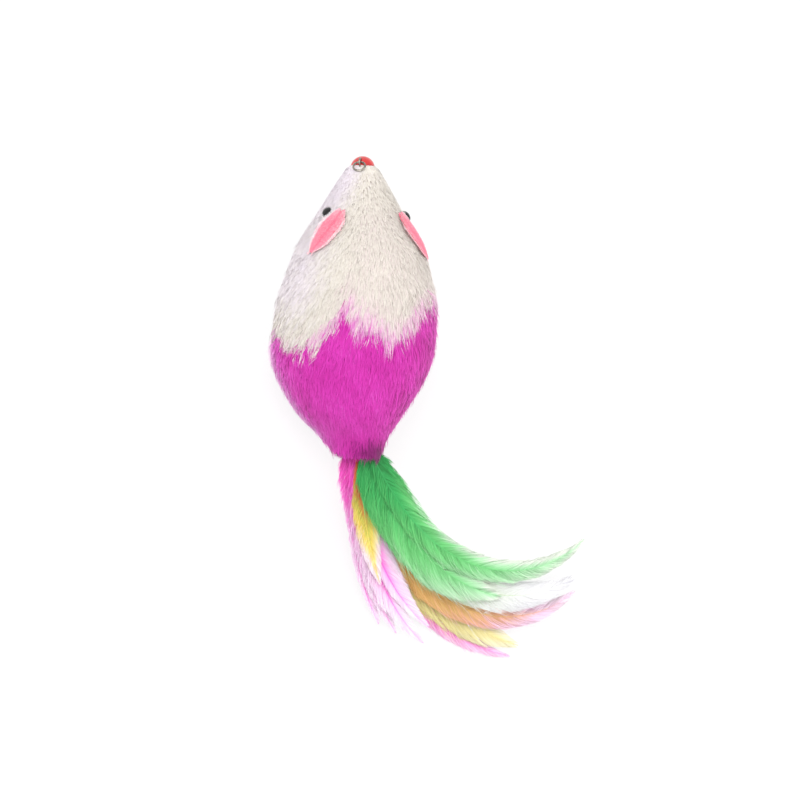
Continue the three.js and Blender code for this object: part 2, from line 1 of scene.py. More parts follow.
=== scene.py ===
# A fur mouse with a tail of dyed feathers and a ring at its nose to tie it by: the lure of a cat's teaser toy.
#
# Metres in Blender. Sizes here are named in millimetres and brought to metres where a mesh is made.

import math

import bpy
import numpy as np
from mathutils import Matrix, Vector, kdtree


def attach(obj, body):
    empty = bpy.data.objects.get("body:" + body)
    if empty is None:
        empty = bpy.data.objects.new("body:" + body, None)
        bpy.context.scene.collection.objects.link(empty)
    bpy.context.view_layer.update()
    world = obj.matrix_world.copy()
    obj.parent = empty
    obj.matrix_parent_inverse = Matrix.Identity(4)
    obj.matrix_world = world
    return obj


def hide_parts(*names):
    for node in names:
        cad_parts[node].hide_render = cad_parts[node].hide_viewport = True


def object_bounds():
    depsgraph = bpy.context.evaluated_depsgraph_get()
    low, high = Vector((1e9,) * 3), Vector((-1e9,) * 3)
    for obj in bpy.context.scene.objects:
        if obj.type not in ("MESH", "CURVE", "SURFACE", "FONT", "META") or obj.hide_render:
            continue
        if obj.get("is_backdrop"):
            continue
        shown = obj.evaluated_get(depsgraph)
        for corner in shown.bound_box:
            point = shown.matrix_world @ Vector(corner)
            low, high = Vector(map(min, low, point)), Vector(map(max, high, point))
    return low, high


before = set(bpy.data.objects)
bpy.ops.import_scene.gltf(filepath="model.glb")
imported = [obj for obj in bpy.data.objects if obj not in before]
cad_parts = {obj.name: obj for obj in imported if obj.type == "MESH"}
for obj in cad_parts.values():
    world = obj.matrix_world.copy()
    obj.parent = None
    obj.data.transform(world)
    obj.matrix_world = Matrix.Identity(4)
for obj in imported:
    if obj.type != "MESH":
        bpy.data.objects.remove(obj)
bpy.ops.object.select_all(action="DESELECT")
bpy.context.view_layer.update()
METRES = 0.001

# ---- Camera
# The mouse is seen from above, tilted a little to its left side, with its nose at the top of the picture.
# A long lens keeps its sides parallel.

CAMERA_TILT, CAMERA_YAW = -20, 2
CAMERA_DISTANCE = 800
PICTURE_WIDTH = 148
SENSOR_WIDTH = 36
CLIP_END = 10
NOSE_TIP = Vector((0, 32.7, 7.9))
NOSE_RIGHT_OF_CENTRE, NOSE_ABOVE_CENTRE = -6.845, 45.14

bpy.ops.object.camera_add(rotation=(0, math.radians(CAMERA_TILT), math.radians(CAMERA_YAW)))
camera = bpy.context.object
right, up, back = (camera.rotation_euler.to_matrix().col[i] for i in range(3))
aim = NOSE_TIP - NOSE_RIGHT_OF_CENTRE * right - NOSE_ABOVE_CENTRE * up
camera.location = (aim + CAMERA_DISTANCE * back) * METRES
camera.data.sensor_width = SENSOR_WIDTH
camera.data.lens = SENSOR_WIDTH * CAMERA_DISTANCE / PICTURE_WIDTH
camera.data.clip_end = CLIP_END
bpy.context.scene.camera = camera
bpy.context.scene.view_settings.view_transform = "Standard"

# ---- Floor and soft light
# A pale floor that the toy lies on, a wide soft lamp from the upper left and an even sky.
# The camera sees the floor as nearly white, and the floor keeps the toy's shadow.

FLOOR_WIDTH, FLOOR_DROP = 6, 0.0001
FLOOR_COLOUR = (0.93, 0.93, 0.93, 1)
FLOOR_WHITE_SHARE = 0.8
SKY_STRENGTH = 0.95
KEY_ENERGY, KEY_WIDTH, KEY_PLACE = 4.1, 0.4, (-0.35, 0.3, 0.75)
FILL_ENERGY, FILL_WIDTH, FILL_PLACE = 3, 0.9, (0.7, -0.2, 0.45)


def new_material(name):
    made = bpy.data.materials.new(name)
    made.use_nodes = True
    made.node_tree.nodes.clear()
    return made


def add_node(material, kind, inputs=None, **settings):
    """A new node with its settings. Each of its inputs is linked to an output, or set to an even value."""
    node = material.node_tree.nodes.new(kind)
    for key, value in settings.items():
        setattr(node, key, value)
    for socket, value in (inputs or {}).items():
        if isinstance(value, bpy.types.NodeSocket):
            material.node_tree.links.new(value, node.inputs[socket])
        else:
            node.inputs[socket].default_value = value
    return node


def seen_directly(material):
    """1 where the camera, a mirror or glass looks at the surface, else 0."""
    rays = add_node(material, "ShaderNodeLightPath").outputs
    total = rays["Is Camera Ray"]
    for name in ("Is Glossy Ray", "Is Transmission Ray"):
        total = add_node(material, "ShaderNodeMath", {0: total, 1: rays[name]}, operation="MAXIMUM").outputs[0]
    return total


bpy.ops.mesh.primitive_plane_add(size=FLOOR_WIDTH, location=(0, 0, -FLOOR_DROP))
floor = bpy.context.object
floor.name = "floor"
floor_paint = new_material("pale_floor")
paper = add_node(floor_paint, "ShaderNodeBsdfDiffuse", {"Color": FLOOR_COLOUR})
glow = add_node(floor_paint, "ShaderNodeEmission")
white = add_node(
    floor_paint, "ShaderNodeMath", {0: seen_directly(floor_paint), 1: FLOOR_WHITE_SHARE}, operation="MULTIPLY",
)
mixed = add_node(floor_paint, "ShaderNodeMixShader", {"Fac": white.outputs[0], 1: paper.outputs[0], 2: glow.outputs[0]})
add_node(floor_paint, "ShaderNodeOutputMaterial", {"Surface": mixed.outputs[0]})
floor.data.materials.append(floor_paint)
floor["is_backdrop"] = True

sky = bpy.data.worlds.new("even_sky")
bpy.context.scene.world = sky
sky.use_nodes = True
sky.node_tree.nodes["Background"].inputs["Color"].default_value = (1, 1, 1, 1)
sky.node_tree.nodes["Background"].inputs["Strength"].default_value = SKY_STRENGTH

for name, energy, width, place in (
    ("soft_key", KEY_ENERGY, KEY_WIDTH, KEY_PLACE),
    ("soft_fill", FILL_ENERGY, FILL_WIDTH, FILL_PLACE),
):
    bpy.ops.object.light_add(type="AREA", location=place)
    lamp = bpy.context.object
    lamp.name = name
    lamp.data.energy = energy
    lamp.data.size = width
    lamp.rotation_euler = (-Vector(place)).to_track_quat("-Z", "Y").to_euler()

# ---- Skins under the fur
# Two pieces of short-haired fur hide wrapped round the core: a white one over the head and chest, and one dyed
# magenta over the rump, which meet behind the shoulders. Each skin is thin, with its hair on the outside.

BODY_LENGTH, HALF_WIDTH, AXIS_HEIGHT, BODY_BOW = 54.5, 15.3, 11, 2
ORIGIN_SHARE = 0.6
SKIN_THICKNESS, SKIN_ROUND, SKIN_ROWS, BELLY_FLOOR = 0.4, 96, 40, 0.05
MUZZLE_Y, SEAM_Y, SEAM_GAP, MOUTH_Y = 30.2, 2.2, 0.3, -21.8
# Steps in share and roll that directions and distances on the surface are taken over
SMALL_STEP, STEP = 1e-4, 1e-3


def smooth_line(pairs):
    """A smooth line through (place, value) pairs, as a function of places."""
    place, value = np.array(pairs, float).T
    after, before = np.r_[1 : len(place), len(place) - 1], np.r_[0, 0 : len(place) - 1]
    slope = (value[after] - value[before]) / (place[after] - place[before])

    def at(x):
        x = np.clip(x, place[0], place[-1])
        i = np.clip(np.searchsorted(place, x) - 1, 0, len(place) - 2)
        step = place[i + 1] - place[i]
        t = (x - place[i]) / step
        bend = t * t * (3 - 2 * t)
        pull = t * (1 - t) ** 2 * slope[i] - t * t * (1 - t) * slope[i + 1]
        return value[i] * (1 - bend) + value[i + 1] * bend + pull * step

    return at


half_width_at = smooth_line([
    (0, 0.1), (0.035, 0.178), (0.1, 0.33), (0.2, 0.54), (0.3, 0.76), (0.4, 0.89), (0.5, 0.98), (0.6, 1),
    (0.68, 0.985), (0.76, 0.885), (0.84, 0.715), (0.9, 0.56), (0.95, 0.405), (1, 0.31), (1.05, 0.25), (1.1, 0.18),
])
bow_at = smooth_line([(0, 0), (0.1, 0.03), (0.35, 0.45), (0.6, 0.9), (0.75, 1), (0.88, 0.85), (0.95, 0.35), (1, 0)])
axis_at = smooth_line([(0, 0.72), (0.12, 0.74), (0.42, 1), (0.76, 1), (1, 0.9)])
back_at = smooth_line([(0, 1), (0.08, 1), (0.35, 0.88), (0.75, 0.88), (0.93, 1), (1, 1)])
belly_at = smooth_line([(0, 1), (0.08, 1), (0.35, 0.78), (0.75, 0.78), (0.93, 1), (1, 1)])
root_lift_at = smooth_line([
    (0, -0.15), (0.05, -0.2), (0.13, -0.7), (0.25, -1.2), (0.85, -1.2), (0.95, -0.6), (1, -0.15),
])


def share_at(y):
    """The share of the body's length behind its nose end at a Y."""
    return ORIGIN_SHARE - y / BODY_LENGTH


def y_at(share):
    return (ORIGIN_SHARE - share) * BODY_LENGTH


def skin_point(share, roll, lift=0):
    """Points of the furred body's outer surface, or lifted off it. The roll is from straight up, towards +X."""
    share, roll, lift = np.broadcast_arrays(share, roll, lift)
    half = half_width_at(share) * HALF_WIDTH + lift
    tall = np.where(np.cos(roll) > 0, back_at(share), belly_at(share))
    x = half * np.sin(roll) - BODY_BOW * bow_at(share)
    z = axis_at(share) * AXIS_HEIGHT + half * tall * np.cos(roll)
    return np.stack([x, y_at(share), z], -1)


def unit(vectors):
    return vectors / np.maximum(np.linalg.norm(vectors, axis=-1, keepdims=True), 1e-9)


def skin_directions(share, roll):
    """Directions on the surface: towards the tail, round the body, and outwards."""
    point = skin_point(share, roll)
    rearward = unit(skin_point(share + SMALL_STEP, roll) - point)
    round_body = unit(skin_point(share, roll + SMALL_STEP) - point)
    return rearward, round_body, unit(np.cross(rearward, round_body))


def climb(value, start, width):
    """0 up to the start, and from there evenly up to 1 over the width."""
    return np.clip((value - start) / width, 0, 1)


def linear(red, green, blue):
    """An sRGB colour in 0 to 255, as the shader's linear value."""
    tone = np.array([red, green, blue]) / 255
    tone = np.where(tone <= 0.04045, tone / 12.92, ((tone + 0.055) / 1.055) ** 2.4)
    return (*tone.tolist(), 1)


def colour_ramp(material, source, stops):
    """A colour from a value, by stops of place, red, green and blue."""
    ramp = add_node(material, "ShaderNodeValToRGB", {"Fac": source})
    band = ramp.color_ramp.elements
    while len(band) < len(stops):
        band.new(0.5)
    for element, (place, *tone) in zip(band, stops):
        element.position = place
        element.color = linear(*tone)
    return ramp.outputs["Color"]


def multiply(material, first, second):
    """Two colours multiplied. The colour inputs of the node are its seventh and eighth."""
    inputs = {"Factor": 1, 6: first, 7: second}
    return add_node(material, "ShaderNodeMix", inputs, data_type="RGBA", blend_type="MULTIPLY").outputs[2]


def object_noise(material, scale, detail=3.0, stretch=(1, 1, 1)):
    """Noise in the object's own space, with lengths in metres, as a value from 0 to 1."""
    place = add_node(material, "ShaderNodeTexCoord").outputs["Object"]
    turn = add_node(material, "ShaderNodeMapping", {"Vector": place, "Scale": stretch})
    inputs = {"Vector": turn.outputs[0], "Scale": scale, "Detail": detail}
    return add_node(material, "ShaderNodeTexNoise", inputs).outputs["Fac"]


def surface(material, colour, roughness, specular=0.5, metallic=0, coat=0, sheen=0, bump=None):
    """The shader and the output of a material. A bump is a height, its strength and its depth in metres."""
    inputs = {
        "Base Color": colour, "Roughness": roughness, "Specular IOR Level": specular, "Metallic": metallic,
        "Coat Weight": coat, "Sheen Weight": sheen,
    }
    if bump:
        bump = dict(zip(("Height", "Strength", "Distance"), bump))
        inputs["Normal"] = add_node(material, "ShaderNodeBump", bump).outputs[0]
    shader = add_node(material, "ShaderNodeBsdfPrincipled", inputs)
    add_node(material, "ShaderNodeOutputMaterial", {"Surface": shader.outputs[0]})


def speckled_material(name, dark, pale, scale, roughness, bump, band=(0.3, 0.7), detail=3.0, stretch=(1, 1, 1), **more):
    """A surface between two tones in fine noise, with the same noise as its relief: strength, and depth in metres."""
    made = new_material(name)
    speckle = object_noise(made, scale, detail, stretch)
    colour = colour_ramp(made, speckle, [(band[0], *dark), (band[1], *pale)])
    surface(made, colour, roughness, bump=(speckle, *bump), **more)
    return made


def hide_material(name, dark, pale):
    look = {"scale": 900, "roughness": 0.9, "bump": (0.6, 0.0003), "specular": 0.2}
    return speckled_material(name, dark, pale, band=(0.35, 0.65), stretch=(1, 0.35, 1), **look)


def write_points(mesh, points):
    """Moves the vertices of a mesh to points in millimetres."""
    mesh.vertices.foreach_set("co", (points * METRES).ravel())


def read_points(mesh):
    points = np.zeros(len(mesh.vertices) * 3)
    mesh.vertices.foreach_get("co", points)
    return points.reshape(-1, 3)


def corner_vertices(mesh):
    """The vertex of each face corner, which is the order that a UV map is written in."""
    corners = np.zeros(len(mesh.loops), int)
    mesh.loops.foreach_get("vertex_index", corners)
    return corners


def face_outwards():
    """Turns the faces of the active piece outwards."""
    bpy.ops.object.mode_set(mode="EDIT")
    bpy.ops.mesh.select_all(action="SELECT")
    bpy.ops.mesh.normals_make_consistent(inside=False)
    bpy.ops.object.mode_set(mode="OBJECT")


def select_only(piece):
    bpy.ops.object.select_all(action="DESELECT")
    piece.select_set(True)
    bpy.context.view_layer.objects.active = piece


def add_object(name, data):
    added = bpy.data.objects.new(name, data)
    bpy.context.scene.collection.objects.link(added)
    return added


def wrap_hide(name, front_y, rear_y):
    """A thin closed skin between two stations: a ring primitive whose section runs out along the skin and back."""
    bpy.ops.mesh.primitive_torus_add(major_segments=SKIN_ROUND, minor_segments=2 * SKIN_ROWS)
    hide = bpy.context.object
    hide.name = name
    roll = np.repeat(np.arange(SKIN_ROUND) / SKIN_ROUND * 2 * math.pi, 2 * SKIN_ROWS)
    along = np.linspace(share_at(front_y), share_at(rear_y), SKIN_ROWS)
    station = np.tile(np.r_[along, along[::-1]], SKIN_ROUND)
    inside = np.tile(np.r_[np.zeros(SKIN_ROWS), np.ones(SKIN_ROWS)], SKIN_ROUND)
    points = skin_point(station, roll, root_lift_at(station) - inside * SKIN_THICKNESS)
    points[:, 2] = np.maximum(points[:, 2], BELLY_FLOOR + inside * SKIN_THICKNESS)
    write_points(hide.data, points)
    face_outwards()
    bpy.ops.object.transform_apply()
    bpy.ops.object.shade_smooth()
    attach(hide, "body")
    return hide


white_hide = wrap_hide("white_hide", MUZZLE_Y, SEAM_Y + SEAM_GAP / 2)
white_hide.data.materials.append(hide_material("white_skin", (226, 214, 203), (240, 232, 223)))
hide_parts("front_pelt")

magenta_hide = wrap_hide("magenta_hide", SEAM_Y - SEAM_GAP / 2, MOUTH_Y)
magenta_hide.data.materials.append(hide_material("magenta_skin", (150, 22, 118), (208, 48, 170)))
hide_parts("rear_pelt")

# ---- White fur
# The undyed hair of the front hide: very short and dense on the muzzle, longer on the shoulders, where it lies
# back over the dyed fur in locks. It ends in a wavy line that runs lower on the left flank.

EYE_SHARE, EYE_ROLL, EYE_CLEAR = 0.203, 66, 1
# Where the white tips end: roll in degrees, then Y
white_ends_at = smooth_line([
    (-180, -4), (-130, -7.6), (-112, -7.6), (-95, -4.6), (-85, -2.6), (-72, -4.2), (-60, -5.2), (-48, -5), (-37, -3.8),
    (-29, -1.6), (-22, 1.8), (-16, -0.9), (-9, -2), (-2, -1.8), (8, -3.8), (18, -2.6), (28, 0.2), (36, 2.2), (54, 3.6),
    (80, 2.9), (130, -1), (180, -4),
])
WHITE_HAIRS, WHITE_FRONT_Y, WHITE_REAR_Y = 88000, MUZZLE_Y - 0.1, -4.5
WHITE_LENGTHS, WHITE_RISES, FULL_RISE_SHARE = (0.75, 1.2), (-0.12, 0.06), 0.4
# The line of the tips is wavy and loose, and some hairs reach well over it
WAVE_HEIGHT, WAVE_SCATTER, END_WAVES, LONG_HAIRS, LONG_REACH = 0.9, 0.8, (23, 2, 7), 0.06, 2.2
STRAY_HAIRS, STRAY_RISES, WHITE_TURN, WHITE_LOCK, END_LOCK = 0.03, (0.1, 0.5), 0.1, 0.02, 0.6
# By roll, how far from the line the hair begins to take up the dye, and how strongly its streaks do
BLENDS = ((-120, -70, -20, 20, 60), (5, 11, 10, 6, 5))
BLEND_POWER, BLEND_STREAK, BLEND_SCATTER, BLEND_RISE = 1.7, 0.48, 0.42, 0.3
STREAK_WAVES, STREAK_SLANT = (41, 6, 5), 60
# The ivory tone warms from the nose to the head, and cools from one roll down the left flank
IVORY_SHARES, IVORY_TONES, TONE_SCATTER, MAX_IVORY = (0.08, 0.2), (0.3, 0.48), 0.07, 0.62
COOL_TONE, COOL_FROM, COOL_OVER = 0.42, 15, 45
MUZZLE_HAIRS, MUZZLE_BAND, MUZZLE_LENGTHS, MUZZLE_RISES = 2600, 1.2, (0.3, 0.7), (-0.15, 0.05)
# Hair lengths from the nose to the neck
hair_length_at = smooth_line([
    (0, 0.7), (0.06, 0.9), (0.15, 1.7), (0.3, 2.8), (0.45, 4), (0.6, 4.6), (0.9, 4.4), (1, 3.6),
])
HAIR_HALF_WIDTH, HAIR_STATIONS, TIP_NARROWING = 0.075, 4, 0.75
FLANK_TURN, LOCK_SPREAD, LOCK_POWER, ROOT_TRIES = 26, 30, 1.4, 4
SKIN_LEAN, HAIR_TWIST, FULL_TWIST_SHARE, MIN_RING, BELLY_SPREAD = 0.75, 0.4, 0.5, 2, 0.15
STRAND_CHART_WIDTH, CHART_MARGIN = 0.004, 0.002


def ribbons(name, path, side, half_width, tone, material, body, slot, along=None, lean=None):
    """Ribbons from paths (strands, stations, 3) and side directions, narrowing to one vertex at each tip.
    A strand's tone and the run along it, from 0 at the root to 1 at the tip, place it on its colour chart.
    The shading normals of fine fur lean towards those of the skin, where they are given."""
    strands, stations = path.shape[:2]
    run = np.linspace(0, 1, stations)
    side = side[:, :-1] * (half_width * (1 - TIP_NARROWING * run[:-1, None] ** 2))
    if along is None:
        along = np.tile(run, (strands, 1))
    edges = np.stack([path[:, :-1] - side, path[:, :-1] + side], 2).reshape(strands, -1, 3)
    corners = np.concatenate([edges, path[:, -1:]], 1)
    count = corners.shape[1]
    pattern = [tuple(2 * k + i for i in half) for k in range(stations - 2) for half in ((0, 1, 3), (0, 3, 2))]
    pattern.append((count - 3, count - 2, count - 1))
    faces = (np.arange(strands)[:, None, None] * count + np.array(pattern)).reshape(-1, 3)
    mesh = bpy.data.meshes.new(name)
    mesh.from_pydata(corners.reshape(-1, 3) * METRES, [], faces)
    chart = np.zeros((strands, count, 2))
    chart[:, :-1, 0] = np.repeat(along[:, :-1], 2, axis=1)
    chart[:, -1, 0] = along[:, -1]
    chart[:, :, 1] = tone[:, None]
    chart[:, 0:-1:2, 1] -= STRAND_CHART_WIDTH
    chart[:, 1:-1:2, 1] += STRAND_CHART_WIDTH
    chart = np.clip(chart, CHART_MARGIN, 1 - CHART_MARGIN).reshape(-1, 2)
    mesh.uv_layers.new(name="OFBake").data.foreach_set("uv", chart[faces.ravel()].ravel())
    mesh.polygons.foreach_set("use_smooth", np.ones(len(faces), bool))
    if lean is not None:
        normals = np.concatenate([np.repeat(lean[:, :-1], 2, axis=1), lean[:, -1:]], 1)
        mesh.normals_split_custom_set_from_vertices(normals.reshape(-1, 3))
    mesh.materials.append(material)
    piece = add_object(name, mesh)
    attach(piece, body)
    return piece


def chart_values(material):
    """The two coordinates of the colour chart: along the strand, and tone."""
    chart = add_node(material, "ShaderNodeUVMap", uv_map="OFBake").outputs[0]
    split = add_node(material, "ShaderNodeSeparateXYZ", {0: chart}).outputs
    return split["X"], split["Y"]


# Painted shade: the second ramp, read along each strand, darkens the colour towards the root, where hairs shade one
# another.
def fur_material(name, tones, painted_root_shade):
    made = new_material(name)
    along, tone = chart_values(made)
    colour = multiply(made, colour_ramp(made, tone, tones), colour_ramp(made, along, painted_root_shade))
    surface(made, colour, 0.75, specular=0.25, sheen=0.25)
    return made


def skin_steps(share, roll):
    """How a point of the surface moves for one step in its share, and for one in its roll."""
    point = skin_point(share, roll)
    return skin_point(share + STEP, roll) - point, skin_point(share, roll + STEP) - point


def scatter_roots(count, front_y, rear_y, random):
    """Even random places on the body: shares and rolls."""
    tries = ROOT_TRIES * count
    share = random.uniform(share_at(front_y), share_at(rear_y), tries)
    roll = random.uniform(-math.pi, math.pi, tries)
    area = np.linalg.norm(np.cross(*skin_steps(share, roll)), axis=1)
    kept = random.uniform(0, area.max(), tries) < area
    return share[kept][:count], roll[kept][:count]


def directions(path):
    return unit(np.gradient(path, axis=1))


def grow_fur(name, share, roll, length, rise, tone, loose, lock, random, material, slot):
    """Hairs that lie back along the skin, drawn together into locks, as one piece for each side of the body."""
    t = np.linspace(0, 1, HAIR_STATIONS)
    turn = np.radians(FLANK_TURN) * np.sin(roll) + random.normal(0, loose, len(share))
    here = skin_point(share, roll)
    per_share, per_roll = (np.linalg.norm(step, axis=1) / STEP for step in skin_steps(share, roll))
    reach_share = length * np.cos(turn) / per_share
    reach_roll = length * np.sin(turn) / np.maximum(per_roll, MIN_RING)
    heads = np.arange(0, len(share), LOCK_SPREAD)
    tree = kdtree.KDTree(len(heads))
    for i, head in enumerate(heads):
        tree.insert(here[head], i)
    tree.balance()
    nearest = heads[[tree.find(point)[1] for point in here]]
    pull = (lock * t[None] ** LOCK_POWER)[..., None]
    gap = np.stack([share[nearest] - share, roll[nearest] - roll], -1)
    gap[:, 1] = (gap[:, 1] + math.pi) % (2 * math.pi) - math.pi
    travel = np.stack([reach_share, reach_roll], -1)[:, None] * t[None, :, None] + gap[:, None] * pull
    shares = share[:, None] + travel[..., 0]
    rolls = roll[:, None] + travel[..., 1]
    root = root_lift_at(share)[:, None]
    lift = root + (rise[:, None] - root) * (1 - (1 - t[None]) ** 2)
    path = skin_point(shares, rolls, lift)
    path[..., 2] = np.maximum(path[..., 2], BELLY_FLOOR + random.uniform(0, BELLY_SPREAD, (len(share), 1)))
    ahead = directions(path)
    outward = skin_directions(shares, rolls)[2]
    twist = random.normal(0, HAIR_TWIST, len(share)) * np.clip(share / FULL_TWIST_SHARE, 0.2, 1) ** 1.5
    twist = twist[:, None, None]
    flat = unit(np.cross(ahead, outward))
    side = flat * np.cos(twist) + np.cross(ahead, flat) * np.sin(twist)
    facing = np.cross(side, ahead)
    facing *= np.sign(np.sum(facing * outward, -1, keepdims=True))
    lean = unit(outward * SKIN_LEAN + facing * (1 - SKIN_LEAN))
    left = np.sin(roll) < 0
    for half, chosen in (("left", left), ("right", ~left)):
        strands = (path[chosen], side[chosen], HAIR_HALF_WIDTH, tone[chosen])
        ribbons(f"{name}_{half}", *strands, material, "body", slot, lean=lean[chosen])


def ripple(roll, many, sway, few, shift=0):
    """An uneven wave round the body, from -1 to 1."""
    return np.sin(roll * many + sway * np.sin(roll * few) + shift)


def white_tone(share, roll):
    return np.interp(share, IVORY_SHARES, IVORY_TONES) - COOL_TONE * climb(-np.degrees(roll), COOL_FROM, COOL_OVER)


dice = np.random.default_rng(11)
share, roll = scatter_roots(WHITE_HAIRS, WHITE_FRONT_Y, WHITE_REAR_Y, dice)
length = hair_length_at(share) * dice.uniform(*WHITE_LENGTHS, len(share))
wave = WAVE_HEIGHT * ripple(roll, *END_WAVES) + dice.normal(0, WAVE_SCATTER, len(share))
wave = np.where(dice.uniform(0, 1, len(share)) < LONG_HAIRS, wave - LONG_REACH, wave)
kept = y_at(share) - length > white_ends_at(np.degrees(roll)) + wave
for eye_point in skin_point(EYE_SHARE, np.radians([-EYE_ROLL, EYE_ROLL])):
    for part in (0, 0.4, 0.8):
        point = skin_point(share + part * length / BODY_LENGTH, roll)
        kept &= np.linalg.norm(point - eye_point, axis=1) > EYE_CLEAR
share, roll, length = share[kept], roll[kept], length[kept]
angle = np.degrees(roll)
near_end = np.clip(1 - (y_at(share) - length - white_ends_at(angle)) / np.interp(angle, *BLENDS), 0, 1)
tone = white_tone(share, roll) + TONE_SCATTER * dice.normal(0, 1, len(share))
streak = BLEND_STREAK * (0.5 + 0.5 * ripple(roll, *STREAK_WAVES, share * STREAK_SLANT))
streak = streak + dice.uniform(0, BLEND_SCATTER, len(share))
tone = np.clip(tone, 0, MAX_IVORY) + near_end**BLEND_POWER * streak
stand = share / FULL_RISE_SHARE
rise = dice.uniform(*WHITE_RISES, len(share)) * np.clip(stand, 0.4, 1)
rise = rise + near_end * dice.uniform(0, BLEND_RISE, len(share))
stray = dice.uniform(0, 1, len(share)) < STRAY_HAIRS
rise += np.where(stray, dice.uniform(*STRAY_RISES, len(share)) * np.clip(stand, 0.2, 1), 0)
# The second ramp of the white hair is painted shade, darker at the roots.
white_fur = fur_material("white_hair", [
    (0, 236, 228, 236), (0.3, 227, 222, 212), (0.5, 222, 215, 207), (0.65, 229, 212, 213), (0.8, 233, 196, 219),
    (1, 222, 132, 202),
], [(0, 244, 240, 237), (0.3, 252, 250, 249), (1, 255, 255, 255)])
# The short hairs at the rim of the muzzle run forwards, which a length below 0 says
muzzle = MUZZLE_HAIRS
share = np.r_[share, dice.uniform(share_at(MUZZLE_Y), share_at(MUZZLE_Y - MUZZLE_BAND), muzzle)]
roll = np.r_[roll, dice.uniform(-math.pi, math.pi, muzzle)]
length = np.r_[length, -dice.uniform(*MUZZLE_LENGTHS, muzzle)]
rise = np.r_[rise, dice.uniform(*MUZZLE_RISES, muzzle)]
muzzle_tone = white_tone(share, roll)[-muzzle:] + dice.normal(0, TONE_SCATTER, muzzle)
tone = np.clip(np.r_[tone, muzzle_tone], 0, 1)
lock = WHITE_LOCK + END_LOCK * np.r_[near_end, np.zeros(muzzle)][:, None]
grow_fur("white_fur", share, roll, length, rise, tone, WHITE_TURN, lock, dice, white_fur, "white_fur")

# ---- Magenta fur
# The dyed hair of the rear hide, darker at the neck, partly by deeper dye and partly as painted shade where it closes
# on the quills. Low on the left flank the hair turns pale lilac, and the last hairs reach back over the roots of the
# feathers.

MAGENTA_HAIRS, MAGENTA_FRONT_Y = 72000, 9.5
MAGENTA_LENGTHS, MAGENTA_RISES, PALE_RISE, MAGENTA_LOCK = (0.7, 1.15), (-0.25, 0.2), 0.9, 0.3
RAISED_HAIRS, RAISED_RISES = 0.05, (0.1, 0.6)
UNDER_WHITE, NECK_SCATTER, MAGENTA_TURN = 3.2, 0.6, 0.2
NECK_ENDS = ((-180, -100, -30, 20, 180), (-23, -23.6, -24.2, -24.6, -24.4))
# Where something starts and over what it grows: pale flank and belly by roll, then along the body the dyed neck and the
# neck's darkening, deeper dye with painted shade
PALE_FLANK, PALE_BELLY, DYED_NECK, NECK_DYE_AND_SHADE = (64, 22), (125, 20), (-21, 3), (16.5, 4)
NECK_DYE_AND_SHADE_ROLL, NECK_DYE_AND_SHADE_WIDTH, MAX_DYED, PALE_PARTS, PALE_TONES = 22, 60, 0.8, (0.6, 1), (0.88, 1)
DYE_TONE, PATCH_TONE, DYE_SCATTER, NECK_DYE_AND_SHADE_TONE = 0.4, 0.16, 0.09, 0.7

dice = np.random.default_rng(12)
share, roll = scatter_roots(MAGENTA_HAIRS, MAGENTA_FRONT_Y, MOUTH_Y, dice)
length = hair_length_at(share) * dice.uniform(*MAGENTA_LENGTHS, len(share))
angle = np.degrees(roll)
kept = y_at(share) < white_ends_at(angle) + UNDER_WHITE + dice.normal(0, 1, len(share))
kept &= y_at(share) - length > np.interp(angle, *NECK_ENDS) + dice.normal(0, NECK_SCATTER, len(share))
share, roll, length, angle = share[kept], roll[kept], length[kept], angle[kept]
place_y = y_at(share)
pale = climb(-angle, *PALE_FLANK) * climb(place_y, *DYED_NECK) * dice.uniform(*PALE_PARTS, len(share))
pale = np.maximum(pale, climb(np.abs(angle), *PALE_BELLY))
# Deeper dye with painted shade: the hair darkens towards the neck, most on its top a little to the right.
neck = climb(-place_y, *NECK_DYE_AND_SHADE) * np.clip(1.2 - np.abs(angle - NECK_DYE_AND_SHADE_ROLL) / NECK_DYE_AND_SHADE_WIDTH, 0, 1)
patch = 0.5 + 0.5 * np.sin(roll * 5.1 + 1.2) * np.sin(place_y * 0.55 + 2 * np.sin(roll * 2))
tone = DYE_TONE + PATCH_TONE * patch + DYE_SCATTER * dice.normal(0, 1, len(share)) - NECK_DYE_AND_SHADE_TONE * neck
tone = np.clip(tone, 0, MAX_DYED) * (1 - pale) + pale * dice.uniform(*PALE_TONES, len(share))
rise = dice.uniform(*MAGENTA_RISES, len(share))
rise = rise + PALE_RISE * pale * (angle < 0) * dice.uniform(0, 1, len(share))
raised = dice.uniform(0, 1, len(share)) < RAISED_HAIRS
rise += np.where(raised, dice.uniform(*RAISED_RISES, len(share)), 0)
# The second ramp of the magenta hair is painted shade, darker at the roots.
magenta_fur = fur_material("magenta_hair", [
    (0, 140, 20, 112), (0.3, 212, 44, 172), (0.6, 230, 62, 196), (0.8, 236, 104, 212), (1, 242, 212, 240),
], [(0, 196, 176, 192), (0.4, 238, 232, 238), (1, 255, 255, 255)])
lock = np.full((len(share), 1), MAGENTA_LOCK)
grow_fur("magenta_fur", share, roll, length, rise, tone, MAGENTA_TURN, lock, dice, magenta_fur, "magenta_fur")

# Short hairs inside the rims of the hides close on the quills, and on the nose bead
NECK_HAIRS, NECK_Y, NECK_ROOT, NECK_TIP, NECK_REACH = 6000, -21.5, (3.9, 4.4), (1.6, 3.6), (0.5, 2)
RIM_HAIRS, RIM_Y, RIM_ROOT, RIM_TIP, RIM_REACH = 3600, 30.3, (2.6, 3), (2.2, 2.45), (0.25, 0.6)
RIM_SHARE, NECK_RIM_DYE_AND_SHADE_TONE, NECK_TONE_SCATTER, MAX_MOUTH_TONE = share_at(RIM_Y), 0.22, 0.1, 0.6
MOUTH_SWIRL, MOUTH_CURVES, MOUTH_LEAN = 0.15, (0.8, 1.3), 1.5


